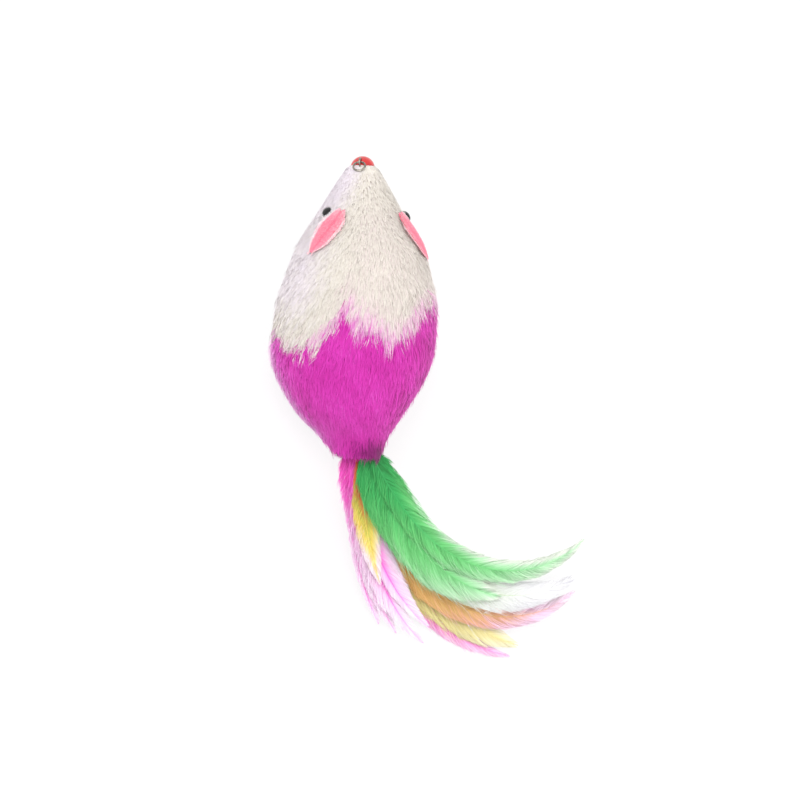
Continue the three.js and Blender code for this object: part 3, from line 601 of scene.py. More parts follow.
def close_mouth(name, y, way, root, tip, reach, tones, noise, material, slot, seed):
    """Hairs round an opening of the skin that reach out of it, along Y by way, and lean in to its middle."""
    random = np.random.default_rng(seed)
    count = len(tones)
    t = np.linspace(0, 1, HAIR_STATIONS)
    around = np.linspace(-math.pi, math.pi, count, endpoint=False)
    root, tip, reach = (random.uniform(*span, (count, 1)) for span in (root, tip, reach))
    distance = root + (tip - root) * t ** MOUTH_CURVES[0]
    bearing = around[:, None] + random.normal(0, MOUTH_SWIRL, (count, 1)) * t
    middle_x, middle_z = skin_point(share_at(y), 0)[0], axis_at(share_at(y)) * AXIS_HEIGHT
    x, z = middle_x + distance * np.sin(bearing), middle_z + distance * np.cos(bearing)
    path = np.stack([x, y + way * reach * t ** MOUTH_CURVES[1], z], -1)
    outward = unit(np.stack([np.sin(around), np.full(count, MOUTH_LEAN * way), np.cos(around)], -1))[:, None]
    side = unit(np.cross(directions(path), outward))
    tones = np.clip(tones + random.normal(0, noise, count), 0, MAX_MOUTH_TONE)
    lean = np.broadcast_to(outward, path.shape)
    ribbons(name, path, side, HAIR_HALF_WIDTH, tones, material, "body", slot, lean=lean)


# The neck hairs take a dark tone, deeper dye with painted shade where they close on the quills.
neck = (NECK_ROOT, NECK_TIP, NECK_REACH, np.full(NECK_HAIRS, NECK_RIM_DYE_AND_SHADE_TONE), NECK_TONE_SCATTER)
close_mouth("neck_fur", NECK_Y, -1, *neck, magenta_fur, "magenta_fur", 13)
rim_tones = white_tone(RIM_SHARE, np.linspace(-math.pi, math.pi, RIM_HAIRS, endpoint=False))
close_mouth("nose_fur", RIM_Y, 1, RIM_ROOT, RIM_TIP, RIM_REACH, rim_tones, TONE_SCATTER, white_fur, "white_fur", 14)

# ---- Eyes
# Polished black beads on stems that go through the hide into the core, domed and set a little into the fur.

EYE_RADIUS, EYE_DOME, EYE_SINK, EYE_BASE = 1.25, 1.1, 0.3, 0.4
EYE_STEM_RADIUS, EYE_STEM_LENGTH, EYE_BASE_PART, EYE_SEGMENTS, EYE_RINGS = 0.5, 3.6, 0.35, 40, 24


def gloss_material(name, dark, pale, roughness, specular, coat):
    return speckled_material(name, dark, pale, 700, roughness, (0.05, 0.0001), specular=specular, coat=coat)


def place_made(piece, matrix):
    """Puts a finished piece in place, with its place in its mesh."""
    piece.matrix_world = matrix
    select_only(piece)
    bpy.ops.object.transform_apply()


def frame_at(point, outward, forward):
    """A frame in metres with its Z outwards and its Y as near forward as can be."""
    z = Vector(outward).normalized()
    x = Vector(forward).cross(z).normalized()
    y = z.cross(x)
    return Matrix.Translation(Vector(point) * METRES) @ Matrix((x, y, z)).transposed().to_4x4()


EYES = (("left_eye", np.radians(-EYE_ROLL)), ("right_eye", np.radians(EYE_ROLL)))
eye_gloss = gloss_material("black_bead", (8, 6, 8), (16, 12, 15), 0.08, 0.4, 0.1)
for name, eye_roll in EYES:
    bpy.ops.mesh.primitive_uv_sphere_add(segments=EYE_SEGMENTS, ring_count=EYE_RINGS, radius=EYE_RADIUS * METRES)
    eye = bpy.context.object
    eye.name = name + "_bead"
    for vertex in eye.data.vertices:
        x, y, z = vertex.co
        if z > 0:
            vertex.co.z = z * EYE_DOME / EYE_RADIUS - EYE_SINK * METRES
        else:
            out, depth = math.hypot(x, y) / (EYE_RADIUS * METRES), -z / (EYE_RADIUS * METRES)
            slim = 1 if depth < EYE_BASE_PART else min(EYE_STEM_RADIUS / EYE_RADIUS / max(out, 0.05), 1)
            stem = EYE_STEM_LENGTH * max(depth - EYE_BASE_PART, 0) / (1 - EYE_BASE_PART)
            reach = EYE_BASE * min(depth / EYE_BASE_PART, 1) + stem
            vertex.co = (x * slim, y * slim, -(EYE_SINK + reach) * METRES)
    bpy.ops.object.shade_smooth()
    rearward, _, outward = skin_directions(np.array(EYE_SHARE), eye_roll)
    place_made(eye, frame_at(skin_point(EYE_SHARE, eye_roll), outward, -rearward))
    eye.data.materials.append(eye_gloss)
    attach(eye, "body")
    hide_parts(name)

# Short hairs stand against the rim of each bead, and cover more of it on the side away from the ear
LID_HAIRS, LID_ROOT, LID_TIP, LID_RISE, LID_COVER = 1100, (1.25, 1.7), (0.82, 1.05), 0.5, 0.22
LID_SWIRL, LID_RISES, LID_DEPTH, LID_DROOP = (0.1, 0.5), (0.7, 1.1), 0.3, 0.08
for name, eye_roll in EYES:
    middle = skin_point(EYE_SHARE, eye_roll)
    rearward, round_body, outward = skin_directions(np.array(EYE_SHARE), eye_roll)
    dice = np.random.default_rng(15)
    around = dice.uniform(0, 2 * math.pi, LID_HAIRS)
    t = np.linspace(0, 1, HAIR_STATIONS)
    root, tip = dice.uniform(*LID_ROOT, LID_HAIRS), dice.uniform(*LID_TIP, LID_HAIRS)
    low = np.clip(np.sin(around) * np.sign(eye_roll), 0, 1)
    distance = root[:, None] + (tip - LID_COVER * low - root)[:, None] * t
    bearing = around[:, None] + (dice.uniform(*LID_SWIRL, LID_HAIRS) * np.sin(around))[:, None] * t
    lift = (LID_RISE + (LID_COVER * low)[:, None]) * dice.uniform(*LID_RISES, (LID_HAIRS, 1)) * t**0.8
    lift = lift - LID_DEPTH * (1 - t) - LID_DROOP * distance**2
    sideways = np.cos(bearing)[..., None] * rearward + np.sin(bearing)[..., None] * round_body
    path = middle + distance[..., None] * sideways + lift[..., None] * outward
    side, lean = np.cross(directions(path), outward), np.broadcast_to(outward, path.shape)
    tone = np.clip(white_tone(EYE_SHARE, eye_roll) + dice.normal(0, TONE_SCATTER, LID_HAIRS), 0, 1)
    ribbons(name + "_lid_hair", path, side, HAIR_HALF_WIDTH, tone, white_fur, "body", "white_fur", lean=lean)

# ---- Nose bead
# A polished red bead on a stem with a collar behind the core's boss, like a shank button.

BEAD_RADIUS, BEAD_Y, NOSE_Z, BEAD_RINGS = 2.3, 30.4, 7.92, 24
STEM_RADIUS, COLLAR_RADIUS, COLLAR_FRONT_Y, COLLAR_REAR_Y = 0.95, 1.7, 23.5, 22.7
SPIN_STEPS, MERGE_DISTANCE, SMOOTH_ANGLE = 48, 1e-6, 40


def turn_profile(name, corners, place):
    """Spins (radius, y) corners once round an axis along Y, and merges the seam."""
    mesh = bpy.data.meshes.new(name)
    edges = [(i, i + 1) for i in range(len(corners) - 1)]
    mesh.from_pydata([(radius * METRES, y * METRES, 0) for radius, y in corners], edges, [])
    piece = add_object(name, mesh)
    select_only(piece)
    bpy.ops.object.mode_set(mode="EDIT")
    bpy.ops.mesh.select_all(action="SELECT")
    bpy.ops.mesh.spin(steps=SPIN_STEPS, angle=2 * math.pi, center=(0, 0, 0), axis=(0, 1, 0))
    bpy.ops.mesh.select_all(action="SELECT")
    bpy.ops.mesh.remove_doubles(threshold=MERGE_DISTANCE)
    bpy.ops.object.mode_set(mode="OBJECT")
    face_outwards()
    bpy.ops.object.shade_smooth_by_angle(angle=math.radians(SMOOTH_ANGLE))
    place_made(piece, Matrix.Translation(Vector(place) * METRES))
    return piece


ball_start = math.asin(STEM_RADIUS / BEAD_RADIUS)
bead_corners = [
    (0, COLLAR_REAR_Y), (COLLAR_RADIUS, COLLAR_REAR_Y), (COLLAR_RADIUS, COLLAR_FRONT_Y), (STEM_RADIUS, COLLAR_FRONT_Y),
]
for t in np.linspace(ball_start, math.pi, BEAD_RINGS):
    bead_corners.append((BEAD_RADIUS * math.sin(t) if t < math.pi else 0, BEAD_Y - BEAD_RADIUS * math.cos(t)))
bead = turn_profile("red_nose", bead_corners, (0, 0, NOSE_Z))
bead.data.materials.append(gloss_material("red_bead", (176, 20, 22), (206, 34, 34), 0.06, 0.5, 0.6))
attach(bead, "body")
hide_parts("nose_bead")

# ---- Staple and ring
# A staple of drawn wire pushed into the bead, and a small ring through it that the toy is tied by.

WIRE_RADIUS = 0.18
STAPLE_HALF_WIDTH, STAPLE_RISE, STAPLE_DEPTH, STAPLE_ROLL, STAPLE_TILT = 0.7, 0.35, 1.1, -31, 22
STAPLE_STEPS, RING_SEGMENTS, RING_SIDES, WIRE_ROUNDNESS = 25, 72, 20, 4
RING_RADIUS, RING_PIVOT_HEIGHT, RING_REST_ANGLE = 1.1, 0.45, 18

wire_metal = speckled_material(
    "drawn_wire", (120, 114, 106), (176, 170, 160),
    scale=2500, roughness=0.32, bump=(0.2, 0.00005), stretch=(1, 0.2, 1), metallic=1,
)
staple_turn = Matrix.Rotation(math.radians(STAPLE_ROLL), 4, "Y") @ Matrix.Rotation(math.radians(-STAPLE_TILT), 4, "X")
staple_place = Vector((0, BEAD_Y, NOSE_Z)) + BEAD_RADIUS * (staple_turn @ Vector((0, 0, 1)))
staple_matrix = Matrix.Translation(staple_place * METRES) @ staple_turn


def bend_wire(name, points, radius, smooth_bends=True):
    """A round wire along points in millimetres, as a mesh with closed ends."""
    curve = bpy.data.curves.new(name, "CURVE")
    curve.dimensions = "3D"
    curve.bevel_depth = radius * METRES
    curve.bevel_resolution = WIRE_ROUNDNESS
    curve.use_fill_caps = True
    spline = curve.splines.new("POLY")
    spline.points.add(len(points) - 1)
    for item, point in zip(spline.points, points):
        item.co = (*(Vector(point) * METRES), 1)
    spline.use_smooth = smooth_bends
    select_only(add_object(name, curve))
    bpy.ops.object.convert(target="MESH")
    return bpy.context.object


staple_path = [(0, -STAPLE_HALF_WIDTH, -STAPLE_DEPTH)]
for angle in np.linspace(0, math.pi, STAPLE_STEPS):
    staple_path.append((0, -STAPLE_HALF_WIDTH * math.cos(angle), STAPLE_RISE + STAPLE_HALF_WIDTH * math.sin(angle)))
staple_path.append((0, STAPLE_HALF_WIDTH, -STAPLE_DEPTH))
staple = bend_wire("wire_staple", staple_path, WIRE_RADIUS)
place_made(staple, staple_matrix)
staple.data.materials.append(wire_metal)
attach(staple, "body")
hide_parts("nose_staple")

bpy.ops.mesh.primitive_torus_add(
    major_radius=RING_RADIUS * METRES, minor_radius=WIRE_RADIUS * METRES,
    major_segments=RING_SEGMENTS, minor_segments=RING_SIDES,
)
ring = bpy.context.object
ring.name = "wire_ring"
bpy.ops.object.shade_smooth()
ring_turn = Matrix.Rotation(math.radians(-RING_REST_ANGLE), 4, "X")
ring_hinge = Matrix.Translation((0, 0, RING_PIVOT_HEIGHT * METRES)) @ ring_turn
place_made(ring, staple_matrix @ ring_hinge @ Matrix.Translation((0, -RING_RADIUS * METRES, 0)))
ring.data.materials.append(wire_metal)
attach(ring, "ring")
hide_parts("line_ring")

# ---- Ears
# Petals cut from thin suede dyed pink, folded along the middle and glued at their front ends, with a soft nap
# and pale cut edges that fray into the fur.

EAR_HALF_WIDTH, EAR_THICKNESS, EAR_LIFT, EAR_CUP, EAR_FOLD = 1.9, 0.25, 0.08, 0.1, 0.2
EAR_SHARES, EAR_ROLLS = (0.197, 0.342), {-1: (44, 61), 1: (43, 58)}
ear_width_at = smooth_line([(0, 0.5), (0.12, 0.76), (0.4, 0.96), (0.75, 0.78), (0.93, 0.42), (1, 0.2)])
EAR_NOTCH, EAR_WAVE, EAR_FOLD_WIDTH, EAR_LENGTH = 0.07, 0.05, 0.3, 9
EAR_ROWS, EAR_COLUMNS, EAR_SEED = 28, 14, 20
EAR_HAIRS, NAP_ALONG, NAP_LENGTH, NAP_RISE, NAP_SWEEP = 5200, (0.01, 0.99), 0.4, 0.16, 0.25
FRINGE_HAIRS, FRINGE_ALONG, FRINGE_LENGTH, FRINGE_DROP, FRINGE_SWEEP = 1900, (0.12, 1), 0.8, 0.6, 0.45
NAP_HALF_WIDTH, NAP_EDGE, NAP_SHARES = 0.06, 0.97, (0.5, 1.2)
NAP_TONE, NAP_SCATTER, PALE_FRINGE, PALE_EDGE, PAINTED_FOLD_SHADE, PALE_FRONT = 0.35, 0.2, 0.3, 0.25, 0.3, 0.3


def ear_point(side, t, s, height=0):
    """A point of an ear: t from its front end to its rear tip, s across it from -1 to 1."""
    t, s, height = np.broadcast_arrays(t, s, height)
    at = t - EAR_NOTCH * (1 - t) ** 3 * np.sin(math.pi * np.abs(s)) + EAR_NOTCH * 0.6 * (1 - t) ** 3
    share = EAR_SHARES[0] + (EAR_SHARES[1] - EAR_SHARES[0]) * at
    front_roll, rear_roll = EAR_ROLLS[side]
    roll = side * np.radians(front_roll + (rear_roll - front_roll) * at)
    per_share, per_roll = (np.linalg.norm(step / STEP, axis=-1) for step in skin_steps(share, roll))
    wavy = 1 + EAR_WAVE * np.sin(9 * t + 2 * side) * np.sign(s)
    half = ear_width_at(t) * EAR_HALF_WIDTH * wavy * s * side
    run_share = (EAR_SHARES[1] - EAR_SHARES[0]) * per_share
    run_roll = math.radians(rear_roll - front_roll) * per_roll
    slant = side * np.arctan2(run_roll, run_share)
    share = share - half * np.sin(slant) / per_share
    roll = roll + half * np.cos(slant) / per_roll
    fold = EAR_FOLD * np.exp(-((s / EAR_FOLD_WIDTH) ** 2)) * np.sin(math.pi * np.clip(t, 0, 1))
    lift = EAR_LIFT + EAR_CUP * s * s - fold * 0.6 + height
    return skin_point(share, roll) + skin_directions(share, roll)[2] * lift[..., None]


ear_suede = new_material("pink_suede")
_, ear_v = chart_values(ear_suede)
fold_shade = colour_ramp(ear_suede, ear_v, [
    (0, 255, 226, 232), (0.2, 255, 255, 255), (0.46, 224, 190, 200), (0.8, 255, 255, 255), (1, 255, 226, 232),
])
ear_mottle = object_noise(ear_suede, 1400, detail=5)
ear_pink = colour_ramp(ear_suede, ear_mottle, [(0.3, 234, 110, 140), (0.7, 250, 152, 172)])
ear_colour = multiply(ear_suede, ear_pink, fold_shade)
surface(ear_suede, ear_colour, 0.9, specular=0.2, sheen=0.3, bump=(ear_mottle, 0.5, 0.0002))
# The second ramp of the nap is painted shade, darker at the roots.
nap_colour = fur_material(
    "pink_nap",
    [(0, 238, 112, 142), (0.5, 249, 148, 168), (0.8, 250, 184, 196), (1, 250, 228, 229)],
    [(0, 226, 206, 212), (0.5, 255, 255, 255), (1, 255, 255, 255)],
)

for name, side in (("left_ear", -1), ("right_ear", 1)):
    bpy.ops.mesh.primitive_grid_add(x_subdivisions=EAR_COLUMNS, y_subdivisions=EAR_ROWS, size=2)
    ear = bpy.context.object
    ear.name = name + "_suede"
    grid = read_points(ear.data)
    t, s = (1 - grid[:, 1]) / 2, grid[:, 0] * side
    ear.data.uv_layers[0].name = "OFBake"
    chart = np.stack([t, (s + 1) / 2], -1)[corner_vertices(ear.data)]
    ear.data.uv_layers[0].data.foreach_set("uv", chart.ravel())
    write_points(ear.data, ear_point(side, t, s))
    face_outwards()
    if sum(face.normal.z for face in ear.data.polygons) < 0:
        ear.data.flip_normals()
    thick = ear.modifiers.new("thickness", "SOLIDIFY")
    thick.thickness, thick.offset = EAR_THICKNESS * METRES, 1
    bpy.ops.object.modifier_apply(modifier=thick.name)
    round_off = ear.modifiers.new("rounding", "SUBSURF")
    round_off.levels = round_off.render_levels = 1
    bpy.ops.object.modifier_apply(modifier=round_off.name)
    bpy.ops.object.shade_smooth()
    ear.data.materials.append(ear_suede)
    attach(ear, name)
    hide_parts(name)

    dice = np.random.default_rng(EAR_SEED + side)
    t = np.r_[dice.uniform(*NAP_ALONG, EAR_HAIRS), dice.uniform(*FRINGE_ALONG, FRINGE_HAIRS)]
    edge = np.where(np.arange(FRINGE_HAIRS) % 2, NAP_EDGE, -NAP_EDGE)
    s = np.r_[dice.uniform(-NAP_EDGE, NAP_EDGE, EAR_HAIRS), edge]
    fringe = np.r_[np.zeros(EAR_HAIRS), np.ones(FRINGE_HAIRS)]
    length = np.where(fringe > 0, FRINGE_LENGTH, NAP_LENGTH) * dice.uniform(*NAP_SHARES, len(t))
    steps = np.linspace(0, 1, HAIR_STATIONS)
    run = length[:, None] * steps / EAR_LENGTH
    sweep = (dice.normal(0, NAP_SWEEP, len(t)) + fringe * np.sign(s) * FRINGE_SWEEP)[:, None] * steps
    rise = EAR_THICKNESS * (1 - FRINGE_DROP * fringe)[:, None] + NAP_RISE * steps * dice.uniform(0.2, 1, (len(t), 1))
    path = ear_point(side, np.clip(t[:, None] + run, 0, 1.1), s[:, None] + sweep * length[:, None] * 0.7, rise)
    flat = unit(np.cross(directions(path), np.array([0.6 * side, 0.3, 0.75])))
    tone = NAP_TONE + NAP_SCATTER * dice.normal(0, 1, len(t)) + PALE_FRINGE * fringe + PALE_EDGE * np.abs(s) ** 6
    # Painted shade: the nap darkens along the middle fold of the ear, as the suede does by its fold_shade ramp.
    fold_shade_mask, at_front = np.exp(-(((s + 0.1) / 0.18) ** 2)), np.exp(-((t / 0.2) ** 2))
    tone = np.clip(np.clip(tone, 0, 1) - PAINTED_FOLD_SHADE * fold_shade_mask + PALE_FRONT * at_front, 0, 1)
    ribbons(name + "_nap", path, flat, NAP_HALF_WIDTH, tone, nap_colour, name, "ear_leather")

# ---- Quill binding
# Thread wound round the quills where they leave the neck: turns side by side over a first layer, which run down
# the bundle as a short cone.

PIVOT_Y, TAIL_Z = -20.7, 9.9
BINDING_RADIUS, BINDING_LENGTH, THREAD_RADIUS, THREAD_TURNS = 3.2, 1.2, 0.13, 10
WRAP_RADIUS, WRAP_START, WRAP_END, TURN_STEPS = 1.7, -0.3, -1.5, 48

wrap_front = BINDING_LENGTH / 2 - THREAD_RADIUS
thread_angle = np.linspace(0, THREAD_TURNS * 2 * math.pi, THREAD_TURNS * TURN_STEPS)
thread_y = np.linspace(wrap_front, WRAP_END, len(thread_angle))
thread_out = np.interp(thread_y, [WRAP_END, WRAP_START], [WRAP_RADIUS, BINDING_RADIUS])
thread_x, thread_z = thread_out * np.cos(thread_angle), TAIL_Z + thread_out * np.sin(thread_angle)
thread_path = np.stack([thread_x, PIVOT_Y + thread_y, thread_z], -1)
binding = bend_wire("wound_thread", thread_path, THREAD_RADIUS)
thread_cloth = speckled_material(
    "wound_thread", (186, 174, 168), (220, 210, 202),
    scale=3000, roughness=0.85, bump=(0.6, 0.0001), stretch=(1, 4, 1), specular=0.2,
)
binding.data.materials.append(thread_cloth)
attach(binding, "tail_root")
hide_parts("quill_binding")
wrap_corners = [
    (0, wrap_front), (BINDING_RADIUS, wrap_front), (BINDING_RADIUS, WRAP_START), (WRAP_RADIUS, WRAP_END), (0, WRAP_END),
]
first_layer = turn_profile("thread_first_layer", wrap_corners, (0, PIVOT_Y, TAIL_Z))
first_layer.data.materials.append(thread_cloth)
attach(first_layer, "tail_root")

# ---- Feathers
# Dyed hackle feathers, glued and bound by their quills, one on another: pink and yellow plumes on the left, then
# magenta, yellow, orange and white feathers, and the green ones on top. Each barb is a fine strand of its own.

TAIL_PITCHES = (0.33, 0.52)
GROUND_GAP, RACHIS_RADIUS, DROP_LENGTH, BEND_POWER = 0.35, 0.19, 44, 1.6
QUILL_INSET, CAD_STATIONS, FEATHER_COUNT = 0.1, 18, 12
vane_at = smooth_line([(0, 0), (0.03, 0), (0.08, 0.5), (0.2, 0.86), (0.45, 1), (0.7, 0.92), (0.87, 0.62), (1, 0.1)])
BARBS_A_SIDE, BARB_STATIONS, BARB_HALF_WIDTH = 1300, 7, 0.08
WISPS, WISP_SETBACK, WISP_ANGLE, WISP_LIFTS, DOWN_LIFTS = 150, 0.1, 22, (0.1, 0.6), (-0.2, 0.6)
MIN_REACH, BARB_CURVES, FIRST_START, START_SCATTER, BARB_ROLL, DOWN_ROLL = 0.2, (1.5, 1.1), 0.02, 0.03, 0.3, 0.6
DYE_SPREAD, WISP_FADE, STREAK_SCATTER, WISP_PALE = 0.06, 0.12, 0.12, 0.25
WANDER_WAVES, WANDER_STARTS, WANDER_ACROSS = (1, 5), (0, 6), 0.2
FIRST_BARB, BARB_ANGLE, BARB_ANGLE_FALL, CAMBER, BARB_GROUND = 0.06, 25, 8, 0.12, 0.12
# Tufts break off at this share of the barbs, and differ in reach, angle, lift and tone
TUFTS, TUFT_BREAKS, TUFT_SCATTERS = 64, 0.02, (0.06, 0.7, 0.1, 0.13)
VANE_CHANGE, FULL_VANES, FIRST_SEED = (0.15, 0.3), (1, 1, 1, 1), 60
SHAFT_RADIUS, SHAFT_STATIONS, SHAFT_DROP, SHAFT_TONE = 0.3, 60, 0.06, 0.55
SHAFT_TAPER = ((0, 0.05, 1), (1, 0.6, 0.22))


def layer_height(layer, x, y):
    distance = np.clip(np.hypot(x, y - PIVOT_Y) / DROP_LENGTH, 0, 1)
    fallen = distance**2 * (3 - 2 * distance)
    at_plug = TAIL_Z + (layer - (FEATHER_COUNT - 1) / 2) * TAIL_PITCHES[0]
    at_ground = GROUND_GAP + RACHIS_RADIUS + layer * TAIL_PITCHES[1]
    return at_plug + (at_ground - at_plug) * fallen


def feather_spine(quill_x, length, root, tip):
    """The rachis seen from above, as a function of t that gives X, Y and heading."""
    t = np.arange(CAD_STATIONS + 1) / CAD_STATIONS
    heading = np.radians(root + (tip - root) * t**BEND_POWER)
    step = length / CAD_STATIONS
    x = quill_x + np.r_[0, np.cumsum(step * np.sin(heading))[:-1]]
    y = PIVOT_Y + QUILL_INSET - np.r_[0, np.cumsum(step * np.cos(heading))[:-1]]
    line_x, line_y = smooth_line(list(zip(t, x))), smooth_line(list(zip(t, y)))

    def at(t):
        over = np.maximum(t - 1, 0) * length
        turn = np.radians(root + (tip - root) * np.clip(t, 0, 1) ** BEND_POWER)
        return line_x(t) + over * np.sin(turn), line_y(t) - over * np.cos(turn), turn

    return at


def feather_material(name, stops, dark, pale=(255, 255, 255)):
    """Dye along the feather from stops, darkened and lightened in streaks from barb to barb."""
    made = new_material(name)
    along, tone = chart_values(made)
    streaks = colour_ramp(made, tone, [(0, *dark), (SHAFT_TONE, 242, 242, 242), (1, *pale)])
    surface(made, multiply(made, colour_ramp(made, along, stops), streaks), 0.7, specular=0.3, sheen=0.15)
    return made


def lay_feather(name, layer, material, seed, quill_x, length, half_width, root, tip, fluff, fades, vanes=FULL_VANES):
    """One feather: a quill and rachis, two vanes of barbs that part into tufts, and loose down near its root.
    Fades say how far the dye runs out on the left and the right vane, along the feather, and along its shaft.
    Vanes say how full the left vane is near the root and further out, and then the right vane."""
    random = np.random.default_rng(seed)
    vane_slot = name.split("_")[0] + "_vane"
    at = feather_spine(quill_x, length, root, tip)
    # Where each barb starts and ends along the rachis, which tuft it is in, its angle and how far it reaches out
    count = BARBS_A_SIDE * 2 + WISPS
    wisp = np.arange(count) % (count // WISPS) == 0
    end = np.sort(random.uniform(FIRST_BARB, 1, count))
    end = np.where(wisp, np.maximum(FIRST_BARB, end - WISP_SETBACK), end)
    side = np.where(np.arange(count) % 2, 1.0, -1.0)
    hand = (side > 0).astype(int)
    tuft = np.cumsum(random.uniform(0, 1, count) < TUFT_BREAKS) % TUFTS
    tuft_reach, tuft_angle, tuft_lift, tuft_tone = (
        random.normal(0, scatter, (TUFTS, 2))[tuft, hand] for scatter in TUFT_SCATTERS
    )
    angle = BARB_ANGLE - BARB_ANGLE_FALL * end + tuft_angle + random.normal(0, 1, count)
    angle = angle + wisp * random.uniform(0, WISP_ANGLE, count)
    reach = 1 + tuft_reach + random.normal(0, 0.04 + 0.06 * fluff, count)
    reach = vane_at(end) * half_width * reach * (1 + 0.15 * wisp)
    near, far = np.array(vanes).reshape(2, 2)[hand].T
    full = near + (far - near) * climb(end, *VANE_CHANGE)
    reach = np.maximum(reach * full * (1 - 0.4 * fluff * end**2), MIN_REACH)
    first = FIRST_START + START_SCATTER * random.uniform(0, 1, count)
    start = np.maximum(end - reach / np.tan(np.radians(angle)) / length, first)
    # Down near the root is slack and wanders, and wisps of it stand off all along
    downy = np.clip(1 - start / (0.3 + 0.7 * fluff), 0, 1) * (0.4 + 0.6 * fluff)
    downy = np.where(wisp, 1, downy)
    t = np.linspace(0, 1, BARB_STATIONS)[None]
    across = reach[:, None] * (1 - (1 - t) ** BARB_CURVES[0])
    along = ((end - start) * length)[:, None] * t ** BARB_CURVES[1]
    waves, starts = random.uniform(*WANDER_WAVES, (count, 1)), random.uniform(*WANDER_STARTS, (count, 1))
    wander = downy[:, None] * t * np.sin(t * waves + starts)
    across = across * (1 + WANDER_ACROSS * wander)
    place = start[:, None] + along / length
    x, y, turn = at(place)
    x = x + side[:, None] * across * np.cos(turn)
    y = y + side[:, None] * across * np.sin(turn)
    camber = -CAMBER * (across / half_width) ** 2
    lift = (tuft_lift[:, None] + random.normal(0, 0.06, (count, 1))) * t
    lift = lift + wander * random.uniform(*DOWN_LIFTS, (count, 1))
    lift = lift + (wisp * random.uniform(*WISP_LIFTS, count))[:, None] * t
    z = np.maximum(layer_height(layer, x, y) + camber + lift, BARB_GROUND)
    path = np.stack([x, y, z], -1)
    ahead = directions(path)
    flat = unit(np.cross(ahead, np.array([0, 0, 1.0])))
    roll = (random.normal(0, BARB_ROLL, count) + downy * random.normal(0, DOWN_ROLL, count))[:, None, None]
    flat = flat * np.cos(roll) + np.cross(ahead, flat) * np.sin(roll)
    width = (BARB_HALF_WIDTH * (1 - 0.45 * downy) * (1 - 0.4 * fluff * end))[:, None, None]
    # The dye runs out along the feather and, from barb to barb, towards the edges of the vanes
    fade = np.array(fades[:2])[hand, None] * np.clip(place * 3 - 0.3, 0, 1)
    core = 1 - 0.5 * fluff * (1 - t) ** 2
    spread = (DYE_SPREAD * t + fade * t**1.5 + WISP_FADE * wisp[:, None]) * random.uniform(0.4, 1.2, (count, 1))
    dye = np.clip(place * fades[2] * core + spread, 0, 1)
    tone = np.clip(0.5 + tuft_tone + random.normal(0, STREAK_SCATTER, count) + WISP_PALE * wisp, 0.05, 1)
    piece = ribbons(name + "_barbs", path, flat, width, tone, material, "feather_tail", vane_slot, along=dye)
    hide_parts(name)

    shaft_t = np.linspace(0, 1, SHAFT_STATIONS)
    x, y, _ = at(shaft_t)
    shaft = np.stack([x, y, layer_height(layer, x, y) - SHAFT_DROP], -1)
    spine = bend_wire(name + "_shaft", shaft, SHAFT_RADIUS, False)
    ring_points = read_points(spine.data) / METRES
    nearest = np.linalg.norm(ring_points[:, None] - shaft[None], axis=2).argmin(1)
    slim = np.interp(shaft_t[nearest], *SHAFT_TAPER)[:, None]
    write_points(spine.data, shaft[nearest] + (ring_points - shaft[nearest]) * slim)
    dye = np.clip(shaft_t[nearest] * fades[3], CHART_MARGIN, 1 - CHART_MARGIN)
    streak = SHAFT_TONE + STRAND_CHART_WIDTH * np.sign(ring_points[:, 2] - shaft[nearest][:, 2])
    chart = np.stack([dye, streak], -1)[corner_vertices(spine.data)]
    spine.data.uv_layers.new(name="OFBake").data.foreach_set("uv", chart.ravel())
    spine.data.materials.append(material)
    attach(spine, "feather_tail")


green_dye = feather_material("green_feather", [
    (0, 40, 142, 74), (0.2, 60, 176, 92), (0.45, 110, 204, 120), (0.6, 136, 214, 142), (0.74, 178, 230, 180),
    (0.92, 210, 238, 208), (1, 234, 240, 228),
], (168, 184, 170))
white_dye = feather_material("white_feather", [
    (0, 120, 190, 110), (0.35, 150, 206, 140), (0.52, 164, 208, 142), (0.62, 200, 222, 182), (0.72, 236, 240, 232),
    (0.85, 242, 241, 243),
], (220, 220, 224), (250, 250, 252))
orange_dye = feather_material("orange_feather", [
    (0, 230, 110, 66), (0.35, 240, 178, 90), (0.6, 234, 190, 120), (0.74, 242, 186, 154), (0.87, 250, 212, 236),
    (1, 252, 232, 248),
], (206, 200, 194))
yellow_dye = feather_material("yellow_feather", [
    (0, 242, 186, 80), (0.35, 244, 220, 120), (0.7, 240, 229, 158), (0.88, 241, 231, 170), (1, 248, 243, 212),
], (216, 208, 184))
sunset_dye = feather_material("yellow_plume", [
    (0, 240, 96, 96), (0.34, 242, 132, 84), (0.48, 206, 206, 92), (0.62, 244, 218, 104), (0.76, 250, 234, 160),
    (0.9, 252, 232, 236), (1, 252, 238, 250),
], (216, 196, 176))
magenta_dye = feather_material("magenta_feather", [
    (0, 236, 60, 172), (0.4, 248, 88, 194), (0.7, 250, 124, 212), (0.85, 252, 176, 228), (1, 252, 212, 238),
], (206, 170, 196))
pink_dye = feather_material("pink_feather", [
    (0, 254, 82, 204), (0.33, 255, 110, 218), (0.48, 255, 168, 232), (0.64, 253, 216, 245), (1, 254, 240, 252),
], (248, 212, 240))
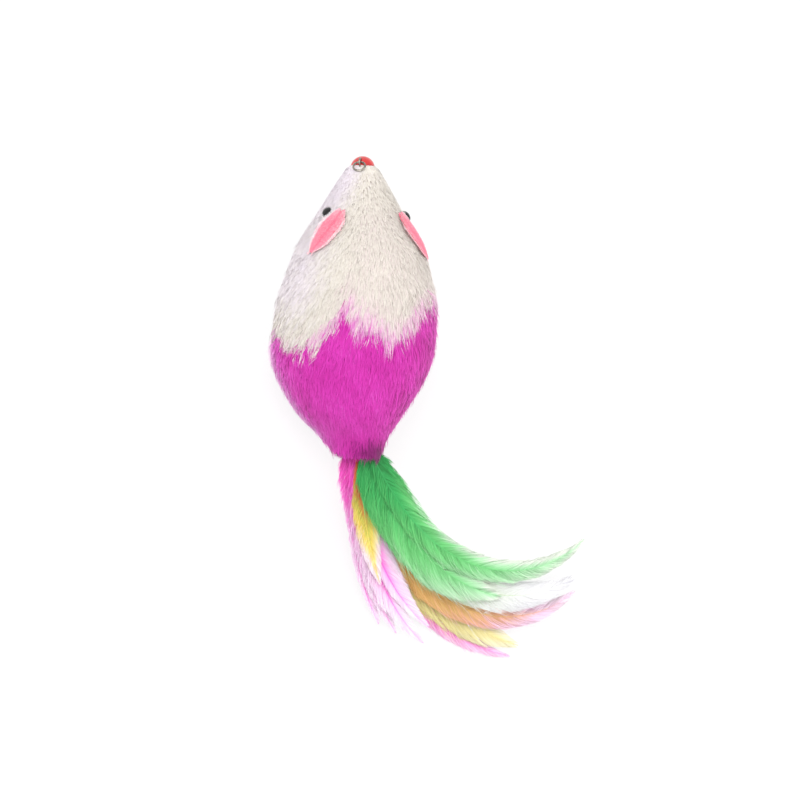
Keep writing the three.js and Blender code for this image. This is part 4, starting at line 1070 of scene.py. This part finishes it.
# Each feather: its dye, then the X of its quill, length, half width, headings at root and tip, how downy it is, and
# its fades and vanes
FEATHERS = [
    ("magenta_feather", magenta_dye, 0, 55.5, 2.3, 19.5, 83, 0.15, (0.3, 0.05, 1, 0.8)),
    ("yellow_feather", yellow_dye, 0.75, 53.5, 4.4, 25.5, 78, 0.15, (0.1, 0.15, 1, 0.8)),
    ("pink_plume_1", pink_dye, -1.1, 35, 2.3, 5, 34, 0.8, (0.35, 0.35, 1, 0.38), (1.1, 0.45, 1, 1.6)),
    ("pink_plume_2", pink_dye, -0.35, 37.5, 1.8, 7, 40, 0.8, (0.35, 0.35, 1, 0.38), (1, 1, 1, 1.7)),
    ("orange_feather", orange_dye, 0.75, 64, 3, 20, 136, 0.1, (0.05, 0.1, 1, 0.84), (0.4, 0.9, 1, 1)),
    ("pink_plume_3", pink_dye, -0.1, 41.5, 1.8, 9, 53, 0.7, (0.35, 0.35, 1, 0.45), (1, 1.4, 1, 1.5)),
    ("pink_plume_4", pink_dye, -0.95, 39.5, 2, 13, 57, 0.7, (0.35, 0.35, 1, 0.45), (0.9, 0.8, 1, 1.5)),
    ("yellow_plume", sunset_dye, -0.25, 27, 2.2, 9, 26, 0.6, (0.15, 0.15, 1.05, 1), (0.35, 0.95, 1, 1.1)),
    ("white_feather", white_dye, 0.5, 59.5, 3.6, 27, 130, 0.1, (0, 0, 1, 0.84)),
    ("green_feather_1", green_dye, -0.2, 35, 3.5, 25, 57, 0.2, (0.2, 0, 0.75, 0.58), (0.3, 0.6, 1, 1)),
    ("green_feather_2", green_dye, 0.45, 43, 4.4, 28, 84, 0.15, (0.25, 0.45, 0.82, 0.66)),
    ("green_feather_3", green_dye, 1, 57.5, 2.3, 32.5, 141, 0.1, (0.2, 0.8, 0.95, 0.79)),
]
for layer, (name, dye, *shape) in enumerate(FEATHERS):
    lay_feather(name, layer, dye, FIRST_SEED + layer, *shape)

# ---- Core and rattle
# Inside, out of sight: a core moulded in two halves, a clear capsule with a steel ball that rattles, and the plug
# with the set glue that holds the quills.


def moulded_plastic(name, dark, pale, roughness):
    made = new_material(name)
    flow, grain = object_noise(made, 260), object_noise(made, 4000)
    surface(made, colour_ramp(made, flow, [(0.3, *dark), (0.7, *pale)]), roughness, bump=(grain, 0.15, 0.00005))
    return made


core_plastic = moulded_plastic("moulded_core", (222, 216, 202), (236, 232, 220), 0.55)
capsule_plastic = moulded_plastic("moulded_capsule", (212, 220, 226), (228, 234, 238), 0.3)
ball_steel = speckled_material(
    "rattle_steel", (150, 150, 154), (196, 196, 200),
    scale=1800, roughness=0.25, bump=(0.1, 0.00005), detail=6, metallic=1,
)
set_glue = moulded_plastic("set_glue", (214, 190, 140), (236, 218, 176), 0.3)
for name, look in (
    ("core_shell_left", core_plastic), ("core_shell_right", core_plastic), ("tail_plug", core_plastic),
    ("rattle_cup", capsule_plastic), ("rattle_lid", capsule_plastic), ("rattle_ball", ball_steel),
    ("glued_quill_ends", set_glue),
):
    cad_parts[name].material_slots[0].material = look

low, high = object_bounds()
